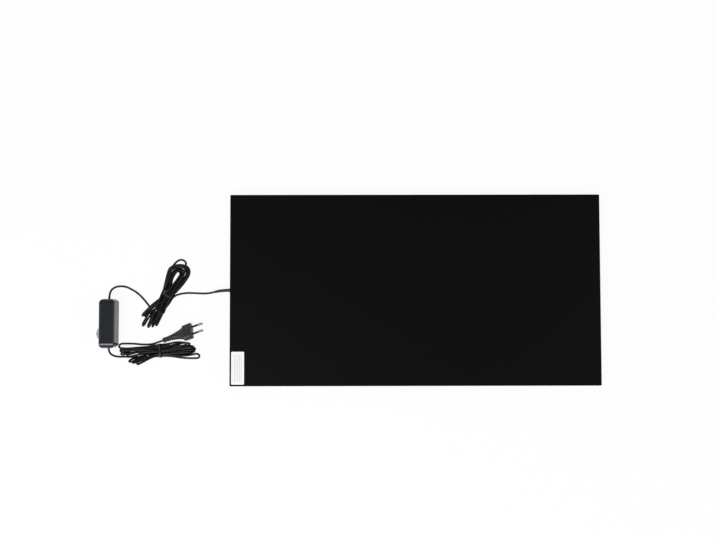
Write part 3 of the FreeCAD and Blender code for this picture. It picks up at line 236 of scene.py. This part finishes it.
# The head's loops lie between an innermost one, round the slit, and an outermost one, each from right to
# left, and one loop stands out beyond them.
innermost_head = (
    (20, 3.6), (32, 6.8), (40, 8.4), (46, 8.0), (47.6, 4.0),
    (44, -0.6), (38, -2.6), (31, -2.2), (20, 0.8),
)
outermost_head = (
    (20, 15.6), (38, 20.3), (52, 21.5), (60.5, 15), (60, 3),
    (53.5, -8), (46.5, -14.3), (36, -13.4), (20, -10),
)
standing_head = [
    (20, 9.8, 7.0), (36, 13.4, 8.2), (48, 14.0, 8.4), (57, 11.6, 8.6), (63, 10.4, 7.6), (67.5, 6.6, 5.8),
    (67.3, -1.8, 5.8), (61, -6.5, 7.6), (51, -9.3, 8.6), (38, -8.5, 8.4), (20, -4.9, 8.4),
]


def head_loop(right, left, height):
    """Control points of one loop of the head. Each side is from 0, the innermost, to 1, the outermost."""
    points = []
    for step, (inner, outer) in enumerate(zip(innermost_head, outermost_head)):
        size = right + (left - right) * step / (len(innermost_head) - 1)
        points.append((*(Vector(inner) * (1 - size) + Vector(outer) * size), height))
    return points


def waist_pass(across, height):
    """Where one strand of the panel cord's hank goes through its tie, a little wider, and its waist."""
    tie_along = 2
    waist_along = -6
    middle = 1.3
    spread = 1.15
    return [(tie_along, middle + (across - middle) * spread, height), (waist_along, across, height)]


def panel_turn(foot, down=None, going=(), coming=(), up=None, head=()):
    """Control points of one turn of the panel cord's hank: down to its foot, up again and round its head.

    down and up are the strand's across and height at the waist on the two ways, and going and coming are
    what it passes between the waist and the foot.
    """
    points = []
    if down:
        points += waist_pass(*down)
    points += [*going, *foot, *coming]
    if up:
        points += waist_pass(*up)[::-1]
    return points + list(head)


panel_hank = [(-12.0, 10.4, 1.8), (-26, 5.4, 1.8)]
panel_hank += panel_turn(
    foot=fold((-51, 7.4), 2.2, 3, (1.8, 10.8), -1),
    up=(8.0, 1.8), head=head_loop(1.0, 1.0, 1.8),
)
panel_hank += panel_turn(
    down=(-5.4, 1.8), going=[(-25, -11.4, 5.6)],
    foot=fold((-60.6, -13.2), 2.7, -4, (1.8, 10.5), -1),
    coming=[(-44, -9.6, 8.0), (-30, -6.2, 5.8)], up=(1.3, 5.2),
    head=[
        (20, 3.4, 6.4), (31, 6.6, 8.0),
        *fold((47.4, 4.4), 4.9, 7, (8.6, 1.8), 1),
        (32, -2.5, 1.8), (20, 1.0, 1.8),
    ],
)
panel_hank += panel_turn(
    down=(1.3, 1.8),
    foot=fold((-55.4, 2.2), 2.1, 1, (1.8, 10.5), -1),
    up=(4.65, 1.8), head=head_loop(0.66, 0.66, 1.8),
)
panel_hank += panel_turn(
    down=(-2.05, 1.8), going=[(-20, -7.2, 6.6), (-30, -11.8, 8.2)],
    foot=fold((-44.6, -16.4), 2.1, -18, (2.4, 11.1), -1),
    up=(4.65, 5.2), head=head_loop(0.40, 0.36, 1.8),
)
panel_hank += panel_turn(
    down=(-2.05, 5.2), going=[(-16, -2.0, 2.2)],
    foot=fold((-51, -0.4), 2.1, -1, (3.4, 12.1), -1),
    coming=[(-27, 4.0, 9.4)], up=(8.0, 5.2), head=head_loop(0.83, 0.84, 4.9),
)
panel_hank += panel_turn(
    down=(-5.4, 5.2), going=[(-14, -9.4, 5.6), (-22.6, -13.9, 5.6), (-33, -18.2, 4.0)],
    foot=fold((-45.6, -21.0), 2.1, -21, (1.8, 10.5), -1),
    coming=[(-28, -14.0, 7.6), (-19, -6.0, 12.6), (-11, 0.4, 12.4)], up=(4.65, 8.6),
    head=head_loop(0.2, 0.17, 4.9),
)
panel_hank += panel_turn(
    down=(1.3, 8.6),
    foot=fold((-29.0, 7.0), 4.6, 4, (12.2, 12.6), -1),
    up=(8.0, 8.6), head=standing_head,
)
panel_hank += panel_turn(
    down=(-5.4, 8.6), going=[(-27, -4.4, 11.2)],
    foot=fold((-59.1, -3.9), 2.6, -1, (10.8, 1.8), 1),
)
panel_hank += [(-44, -6.6, 1.8), (-36.5, -9.2, 1.8), (-30.6, -12.6, 2.4), (-26.6, -17.8, 3.0)]
panel_route = [
    (-326, 0, 9), (-331, -0.7, 8.75), (-337.5, -2.9, 7.9), (-347, -5.0, 4.6), (-359, -5.4, 1.8),
    (-372, -4.6, 1.7), (-386, -4.2, 1.7), (-399.3, -6.4, 1.7), (-408.8, -10.9, 1.7),
    *on_table(panel_hank, *panel_hank_place),
    (-458.8, -13.2, 2.6), (-468.8, -3.8, 1.8), (-479.0, 2.2, 1.9), (-487.0, 6.2, 2.8),
    (-496.0, 7.6, 6.0), (-505.5, 5.2, 11.5), (-512.0, -3.1, 15), (-512.5, -16.1, 15),
]
panel_lead = lay_cord("panel_lead", panel_route)
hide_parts("panel_cord", "panel_cord_hank", "dimmer_cord")

# Cord from the dimmer to the plug: the same flex. It comes out of the dimmer's lower end, is folded
# into a flatter hank, and its last end doubles back beside the loops to the plug.
mains_hank_place = ((-427.7, -103.4), 184.1, -1)
waist_end = 10


def mains_turn(back, left_fold, out, right_fold, going=()):
    """Control points of one turn of the mains cord's hank: to its left fold and out to its right one.

    back and out are the strand's across and height at the waist on the two ways, and going is what it
    passes on the second.
    """
    leftwards = [(-waist_end, *back), (waist_end, *back)]
    rightwards = [(waist_end, *out), (-waist_end, *out)]
    return [*leftwards, *left_fold, *rightwards, *going, *right_fold]


mains_hank = [
    (64, 3.4, 1.8), (48, 5.6, 1.8), (10, 7.0, 1.8), (-12, 7.4, 1.8), (-38, 13.6, 1.8),
    *fold((-64.3, 11.4), 4.0, 2, (1.8, 6.6), 1), (-40, 10.0, 4.6),
]
mains_hank += mains_turn(
    back=(5.2, 4.9), left_fold=fold((40.8, 16.6), 2.1, 19, (10.3, 1.8), 1),
    out=(3.3, 1.8), right_fold=fold((-52, 5.8), 2.0, 5, (1.8, 10.4), 1),
)
mains_hank += mains_turn(
    back=(3.3, 8.0), left_fold=fold((53.2, 11.4), 2.0, 12, (12.1, 3.7), 1),
    out=(-0.5, 1.8), right_fold=fold((-57, 2.6), 2.0, 3, (1.8, 10.4), 1),
)
mains_hank += mains_turn(
    back=(1.4, 4.9), left_fold=fold((46.8, 13.6), 2.1, 16, (14.6, 6.0), 1),
    out=(-4.4, 1.8), right_fold=fold((-58.4, -1), 2.0, 0, (1.8, 10.4), 1),
)
mains_hank += mains_turn(
    back=(-2.4, 4.9), left_fold=fold((57, 2.2), 2.0, 1, (10.2, 1.8), 1),
    out=(-8.2, 1.8), right_fold=fold((-55, -5), 2.0, -4, (1.8, 10.4), 1),
)
mains_hank += mains_turn(
    back=(-6.3, 4.9), left_fold=fold((66.4, -2.4), 2.1, -1, (10.2, 1.8), 1),
    out=(-12.0, 1.8), right_fold=fold((-49.5, -9.6), 2.0, -2, (1.8, 10.2), -1),
    going=[(-28, -14.9, 1.8)],
)
mains_hank += mains_turn(
    back=(-10.1, 4.9), left_fold=fold((67.4, -8.0), 2.1, -4, (2.0, 10.4), -1),
    out=(-8.2, 8.0), right_fold=fold((-44.3, -10.4), 2.1, -2, (3.8, 12.2), -1),
    going=[(-27, -11.2, 7.0)],
)
mains_hank += mains_turn(
    back=(-4.4, 8.0), left_fold=fold((63.4, -5.2), 2.0, -3, (13.4, 5.0), -1),
    out=(-0.5, 8.0), right_fold=fold((-57, -3.4), 2.0, -2, (3.8, 12.2), 1),
)
mains_hank += [
    (-waist_end, -2.4, 11.2), (waist_end, -2.4, 11.2), (39, -8.0, 12.4),
    *fold((69.4, -15.2), 3.7, -4, (8.0, 1.8), 1), (46, -17.2, 1.8), (30, -14.4, 3.0),
]
plug_heading = math.radians(19)
plug_length = 51
straight_before_plug = 9
plug_ahead = Vector((math.cos(plug_heading), math.sin(plug_heading), 0))
plug_pin_low, plug_pin_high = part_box("plug_pins")
plug_front = Vector((-373, -67, (plug_pin_low.z + plug_pin_high.z) * 500))
plug_tail = plug_front - plug_ahead * plug_length
mains_route = [
    (-512.5, -94.1, 15), (-512.5, -102.0, 14.6), (-507.5, -108.8, 11.0), (-498.5, -111.6, 5.0),
    *on_table(mains_hank, *mains_hank_place),
    (-442.5, -90.7, 5.8), plug_tail - plug_ahead * straight_before_plug, plug_tail,
]
mains_lead = lay_cord("mains_lead", mains_route)
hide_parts("mains_cord", "mains_cord_hank", "plug_cord")

# Plug body: soft black PVC moulded round the pins and the cord in one shot, flat and wide at the
# pins, tapering to a neck, with a ribbed tail that lets the cord bend.
plug_roll = math.radians(-50)
front_length = 8
front_width = 34
front_thickness = 13
front_corner = 0.0058
tail_radius = 4.8
tail_root = 2
ribs_start = -35.5
neck_radius = 3.4
rib_flare = 1.0
rib_length = 1.1
rib_gap = 1.1


def place_points(piece, move):
    """Moves every corner of a mesh by a function of its own place, in millimetres."""
    for corner in piece.data.vertices:
        corner.co = Vector(move(*(corner.co * 1000))) / 1000


def pick_faces(piece, wanted):
    """Selects the faces whose normal passes the test, and nothing else, in edit mode."""
    bpy.ops.object.mode_set(mode="EDIT")
    bpy.ops.mesh.select_mode(type="FACE")
    bpy.ops.mesh.select_all(action="DESELECT")
    bpy.ops.object.mode_set(mode="OBJECT")
    for face in piece.data.polygons:
        face.select = wanted(face.normal)
    bpy.ops.object.mode_set(mode="EDIT")


def round_long_edges(piece, radius):
    """Rounds the edges of a block that run along X, and stays in edit mode."""
    bpy.ops.object.mode_set(mode="EDIT")
    bpy.ops.mesh.select_mode(type="EDGE")
    bpy.ops.mesh.select_all(action="DESELECT")
    bpy.ops.object.mode_set(mode="OBJECT")
    for edge in piece.data.edges:
        first, second = (piece.data.vertices[corner].co for corner in edge.vertices)
        edge.select = abs(first.x - second.x) > 0.0001
    bpy.ops.object.mode_set(mode="EDIT")
    bpy.ops.mesh.bevel(offset=radius, segments=5, affect="EDGES")


def draw_out(piece, at, profile):
    """Draws the end of a block out along -X. Each step has a length and scales its width and thickness."""
    pick_faces(piece, lambda normal: normal.x < -0.9)
    for step, width, thickness in profile:
        at -= step
        bpy.ops.mesh.extrude_region_move(TRANSFORM_OT_translate={"value": (-step / 1000, 0, 0)})
        bpy.ops.transform.resize(value=(1, width, thickness), center_override=(at / 1000, 0, 0))
    bpy.ops.object.mode_set(mode="OBJECT")


def round_block(radius, length, low_end, sides):
    """A cylinder along X whose end on the -X side is at low_end, in millimetres."""
    bpy.ops.object.select_all(action="DESELECT")
    bpy.ops.mesh.primitive_cylinder_add(
        vertices=sides, radius=radius / 1000, depth=length / 1000,
        location=((low_end + length / 2) / 1000, 0, 0), rotation=(0, math.pi / 2, 0),
    )
    bpy.ops.object.transform_apply(location=True, rotation=True, scale=True)
    return bpy.context.object


def draw_out_round(piece, radius, at, profile):
    """Draws the end of a cylinder out along -X, in steps of a length and the radius it ends at."""
    scaled = []
    for step, next_radius in profile:
        scaled.append((step, next_radius / radius, next_radius / radius))
        radius = next_radius
    draw_out(piece, at, scaled)


def soften(piece, width, segments, angle):
    """Rounds the edges that are sharper than an angle, in degrees."""
    rounding = piece.modifiers.new("rounding", "BEVEL")
    rounding.width = width
    rounding.segments = segments
    rounding.limit_method = "ANGLE"
    rounding.angle_limit = math.radians(angle)
    bpy.ops.object.modifier_apply(modifier="rounding")


def join_to(piece, added):
    """Makes another mesh part of a piece."""
    bpy.ops.object.select_all(action="DESELECT")
    added.select_set(True)
    piece.select_set(True)
    bpy.context.view_layer.objects.active = piece
    bpy.ops.object.join()


bpy.ops.object.select_all(action="DESELECT")
bpy.ops.mesh.primitive_cube_add(size=0.001)
plug = bpy.context.object
plug.name = "plug_moulding"
place_points(plug, lambda x, y, z: (
    x * front_length - front_length / 2, y * front_width, z * front_thickness))
round_long_edges(plug, front_corner)
draw_out(plug, -front_length, (
    (7, 0.97, 1.0), (1.6, 0.74, 0.86), (5.6, 0.70, 0.875), (7, 0.67, 0.9), (5.3, 0.75, 0.95)))
soften(plug, width=0.0009, segments=3, angle=38)
tail = round_block(tail_radius, tail_root, ribs_start, sides=28)
ribs = []
for rib_radius in (5.1, 4.9, 4.7, 4.6, 4.5):
    ribs += [(rib_flare, rib_radius), (rib_length, rib_radius), (0, neck_radius), (rib_gap, neck_radius)]
draw_out_round(tail, tail_radius, ribs_start, ribs)
soften(tail, width=0.0003, segments=2, angle=40)
join_to(plug, tail)
bpy.ops.object.shade_smooth_by_angle(angle=math.radians(35))
plug.data.transform(Matrix.Translation(plug_front / 1000)
                    @ Matrix.Rotation(plug_heading, 4, "Z")
                    @ Matrix.Rotation(plug_roll, 4, "X"))
black_moulding = surface("black_moulding", (0.011, 0.011, 0.011), (0.019, 0.019, 0.019),
                         grain=700, roughness=0.5, bump=0.00008)
plug.data.materials.append(black_moulding)
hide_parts("plug_body")
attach(plug, "heater")


def paint(node, finish):
    """Gives a solid of the frame its finish."""
    solids[node].data.materials.clear()
    solids[node].data.materials.append(finish)


nickel = surface("nickel", (0.30, 0.29, 0.25), (0.37, 0.36, 0.31), grain=500, roughness=0.4, Metallic=1.0)
paint("plug_pins", nickel)
paint("plug_pin_sleeves", black_moulding)
bridge_plastic = surface("bridge_plastic", (0.60, 0.58, 0.52), (0.70, 0.68, 0.62), grain=400, roughness=0.5)
paint("plug_insert", bridge_plastic)

# Cord sleeve: moulded rubber bushing, snapped into both walls of the panel between its two flanges. Its
# tapered sleeve keeps the cord from kinking and droops a little with it.
bushing_low, bushing_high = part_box("cord_bushing")
flange_radius = (bushing_high.z - bushing_low.z) * 500
flange_thickness = 1.5
groove_radius = 3.2
sleeve_length = 26.0
sleeve_radius = 2.75
sleeve_taper = 0.45
sleeve_rings = 8
aside_droop = 0.0042
down_droop = 0.0015
bushing_height = (bushing_low.z + bushing_high.z) * 500
wall_face = bushing_low.x * 1000 + sleeve_length
groove_length = bushing_high.x * 1000 - flange_thickness - wall_face
groove_end = wall_face + groove_length
bushing = round_block(flange_radius, flange_thickness, groove_end, sides=32)
bushing.name = "drooping_bushing"
sleeve_profile = [
    (0, groove_radius), (groove_length, groove_radius),
    (0, flange_radius), (flange_thickness, flange_radius), (0, sleeve_radius),
]
ring_step = (sleeve_length - flange_thickness) / sleeve_rings
for ring in range(1, sleeve_rings + 1):
    sleeve_profile.append((ring_step, sleeve_radius - sleeve_taper * ring / sleeve_rings))
draw_out_round(bushing, flange_radius, groove_end, sleeve_profile)
soften(bushing, width=0.0003, segments=3, angle=40)


def droop(x, y, z):
    """Lets the sleeve hang to one side and down, more and more towards its tip."""
    out = max(0, wall_face - flange_thickness - x)
    return x, y - aside_droop * out ** 2, z + bushing_height - down_droop * out ** 2


place_points(bushing, droop)
bpy.ops.object.shade_smooth_by_angle(angle=math.radians(35))
black_rubber = surface("black_rubber", (0.008, 0.008, 0.008), (0.015, 0.015, 0.015),
                       grain=900, roughness=0.6, bump=0.00005)
bushing.data.materials.append(black_rubber)
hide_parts("cord_bushing")
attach(bushing, "heater")
paint("cord_tail", black_sheath)

# Hank ties: flat black plastic-covered wire, wrapped once round the waist of each hank with its ends
# twisted together on top.
tie_width = 2.4
tie_corner = 0.0042
tie_thickness = 0.0006
tie_lift = 0.1
twist_length = 11
twist_thickness = 1.1
twist_along, twist_across, twist_lift = 4.5, 1.5, 1.0
tie_plastic = surface("tie_plastic", (0.006, 0.006, 0.008), (0.011, 0.011, 0.014), grain=1200, roughness=0.45)


def wound(x, y, z):
    """A flat double strip, wound three half turns."""
    turn = Matrix.Rotation(3 * math.pi * (x + 0.5), 2)
    across, height = turn @ Vector((y * tie_width, z * twist_thickness))
    return x * twist_length, across, height


for node, hank_place, along, across, width, height in (
    ("panel_hank_tie", panel_hank_place, 2.0, 1.4, 19.4, 10.8),
    ("mains_hank_tie", mains_hank_place, 0.0, -2.4, 23.6, 13.2),
):
    bpy.ops.object.select_all(action="DESELECT")
    bpy.ops.mesh.primitive_cube_add(size=0.001)
    tie = bpy.context.object
    tie.name = node.replace("hank_tie", "wire_tie")
    place_points(tie, lambda x, y, z: (x * tie_width, y * width, z * height + height / 2 + tie_lift))
    round_long_edges(tie, tie_corner)
    pick_faces(tie, lambda normal: abs(normal.x) > 0.9)
    bpy.ops.mesh.delete(type="FACE")
    bpy.ops.object.mode_set(mode="OBJECT")
    wall = tie.modifiers.new("wall", "SOLIDIFY")
    wall.thickness = tie_thickness
    wall.offset = -1
    bpy.ops.object.modifier_apply(modifier="wall")
    bpy.ops.object.select_all(action="DESELECT")
    bpy.ops.mesh.primitive_cube_add(size=0.001)
    twist = bpy.context.object
    bpy.ops.object.mode_set(mode="EDIT")
    bpy.ops.mesh.select_all(action="SELECT")
    bpy.ops.mesh.subdivide(number_cuts=12)
    bpy.ops.object.mode_set(mode="OBJECT")
    place_points(twist, wound)
    place_points(twist, lambda x, y, z: (x + twist_along, y + twist_across, z + height + twist_lift))
    join_to(tie, twist)
    bpy.ops.object.shade_smooth_by_angle(angle=math.radians(40))
    middle, heading, side = hank_place
    tie.data.transform(Matrix.Translation((middle[0] / 1000, middle[1] / 1000, 0))
                       @ Matrix.Rotation(math.radians(heading), 4, "Z")
                       @ Matrix.Translation((along / 1000, -side * across / 1000, 0)))
    tie.data.materials.append(tie_plastic)
    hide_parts(node)
    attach(tie, "heater")

# Casing: two pans folded from sheet steel, the warm one set inside the other, powder-coated in a fine
# black satin and riveted together through their walls.
satin_black = surface("satin_black", (0.0016, 0.0017, 0.0014), (0.0028, 0.0030, 0.0026),
                      grain=1500, roughness=0.5, bump=0.00002, Specular_IOR_Level=0.06)
paint("back_pan", satin_black)
warm_black = surface("warm_black", (0.0034, 0.0034, 0.0034), (0.0062, 0.0062, 0.0062),
                     grain=2200, roughness=0.6, bump=0.00004, Specular_IOR_Level=0.25)
paint("face_pan", warm_black)
rivet_black = surface("rivet_black", (0.010, 0.010, 0.010), (0.02, 0.02, 0.02),
                      grain=1500, roughness=0.4, Metallic=0.6)
paint("casing_rivets", rivet_black)

# Label: white coated paper, stuck flat to the back in its corner. Fine grey rules run along it, evenly
# spaced inside a bare margin.
label_low, label_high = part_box("back_label")
label_middle = (label_low + label_high) / 2
rule_spacing = 0.0028
rule_share = 0.22
ruled_half_width = 0.0080
ruled_half_length = 0.0225
white_label = bpy.data.materials.new("white_label")
white_label.use_nodes = True
label_tree = white_label.node_tree
label_shader = label_tree.nodes["Principled BSDF"]
label_shader.inputs["Roughness"].default_value = 0.45
label_place = label_tree.nodes.new("ShaderNodeTexCoord")
centred = label_tree.nodes.new("ShaderNodeMapping")
centred.inputs["Location"].default_value = (-label_middle.x, -label_middle.y, 0)
apart = label_tree.nodes.new("ShaderNodeSeparateXYZ")
label_tree.links.new(label_place.outputs["Object"], centred.inputs["Vector"])
label_tree.links.new(centred.outputs["Vector"], apart.inputs["Vector"])
rule_count = reckon(label_tree, "DIVIDE", apart.outputs["X"], rule_spacing)
on_rule = reckon(label_tree, "LESS_THAN", reckon(label_tree, "FRACT", rule_count), rule_share)
from_middle = reckon(label_tree, "ABSOLUTE", apart.outputs["X"])
in_width = reckon(label_tree, "LESS_THAN", from_middle, ruled_half_width)
from_half_way = reckon(label_tree, "ABSOLUTE", apart.outputs["Y"])
in_length = reckon(label_tree, "LESS_THAN", from_half_way, ruled_half_length)
ruled = reckon(label_tree, "MULTIPLY", on_rule, reckon(label_tree, "MULTIPLY", in_width, in_length))
label_shades = label_tree.nodes.new("ShaderNodeMix")
label_shades.data_type = "RGBA"
label_shades.inputs["A"].default_value = (0.85, 0.86, 0.87, 1)
label_shades.inputs["B"].default_value = (0.40, 0.41, 0.43, 1)
label_tree.links.new(ruled, label_shades.inputs["Factor"])
label_tree.links.new(label_shades.outputs["Result"], label_shader.inputs["Base Color"])
paint("back_label", white_label)

# Dimmer case: two half shells injection-moulded in glossy black plastic, closed by screws from the
# base, with the cord clamped inside both ends.
gloss_black = surface("gloss_black", (0.0085, 0.0110, 0.0155), (0.0120, 0.0148, 0.0205),
                      grain=300, roughness=0.16, bump=0.00002, Specular_IOR_Level=0.36)
paint("dimmer_cover", gloss_black)
paint("dimmer_base", gloss_black)
zinc = surface("zinc", (0.42, 0.42, 0.43), (0.55, 0.55, 0.56), grain=800, roughness=0.35, Metallic=1.0)
paint("dimmer_screws", zinc)

# Dimmer wheel: a knurled thumb wheel moulded in milky plastic, pressed on the potentiometer's spindle.
# Its edge stands out of a slot in the side of the case.
milky = surface("milky", (0.36, 0.38, 0.39), (0.46, 0.48, 0.49), grain=500, roughness=0.4,
                Subsurface_Weight=0.2, Subsurface_Radius=(0.002, 0.002, 0.002))
paint("dimmer_wheel", milky)
paint("dimmer_spindle", milky)

# Dimmer works: a small circuit board with the potentiometer, triac and its heat sink, choke, capacitor
# and fuse, and terminals for the two cord ends.
board_green = surface("board_green", (0.03, 0.10, 0.045), (0.05, 0.15, 0.07), grain=900, roughness=0.4)
component_black = surface("component_black", (0.015, 0.015, 0.015), (0.03, 0.03, 0.03),
                          grain=900, roughness=0.5)
aluminium = surface("aluminium", (0.62, 0.62, 0.64), (0.75, 0.75, 0.77),
                    grain=700, roughness=0.35, Metallic=1.0)
ferrite = surface("ferrite", (0.05, 0.05, 0.05), (0.09, 0.09, 0.09), grain=900, roughness=0.7)
copper = surface("copper", (0.55, 0.22, 0.10), (0.72, 0.32, 0.16),
                 grain=1500, roughness=0.3, bump=0.00008, Metallic=1.0)
capacitor_yellow = surface("capacitor_yellow", (0.55, 0.38, 0.03), (0.66, 0.47, 0.06),
                           grain=500, roughness=0.25)
core_blue = surface("core_blue", (0.03, 0.06, 0.22), (0.06, 0.11, 0.32), grain=900, roughness=0.4)
for node, finish in {
    "dimmer_board": board_green,
    "dimmer_potentiometer": component_black,
    "dimmer_triac": component_black,
    "dimmer_heat_sink": aluminium,
    "choke_core": ferrite,
    "choke_winding": copper,
    "dimmer_capacitor": capacitor_yellow,
    "dimmer_fuse": component_black,
    "dimmer_terminals": bridge_plastic,
    "dimmer_cord_clamps": component_black,
    "dimmer_clamp_screws": zinc,
    "dimmer_cord_tails": black_sheath,
    "dimmer_cores": core_blue,
}.items():
    paint(node, finish)

# Heater inside the casing: a glass-fibre mat under the heating cable, bright foil and a mineral board
# over it, and the wiring in a pocket by the cord.
glass_mat = surface("glass_mat", (0.55, 0.50, 0.38), (0.68, 0.63, 0.50),
                    grain=1500, roughness=0.8, bump=0.0001)
silicone_red = surface("silicone_red", (0.25, 0.03, 0.02), (0.35, 0.05, 0.03), grain=900, roughness=0.45)
mineral_board = surface("mineral_board", (0.50, 0.42, 0.18), (0.64, 0.55, 0.28),
                        grain=700, roughness=0.95, bump=0.0002)
brass = surface("brass", (0.60, 0.43, 0.16), (0.72, 0.53, 0.22), grain=900, roughness=0.3, Metallic=1.0)
lead_white = surface("lead_white", (0.62, 0.62, 0.58), (0.72, 0.72, 0.68), grain=900, roughness=0.45)
for node, finish in {
    "heating_mat": glass_mat,
    "heating_cable": silicone_red,
    "reflector_foil": aluminium,
    "insulation_board": mineral_board,
    "wiring_plate": bridge_plastic,
    "cord_clamp": bridge_plastic,
    "cord_clamp_screws": zinc,
    "terminal_block": bridge_plastic,
    "terminal_screws": brass,
    "thermal_limiter": component_black,
    "element_leads": lead_white,
    "lead_splice": brass,
    "cord_cores": core_blue,
}.items():
    paint(node, finish)
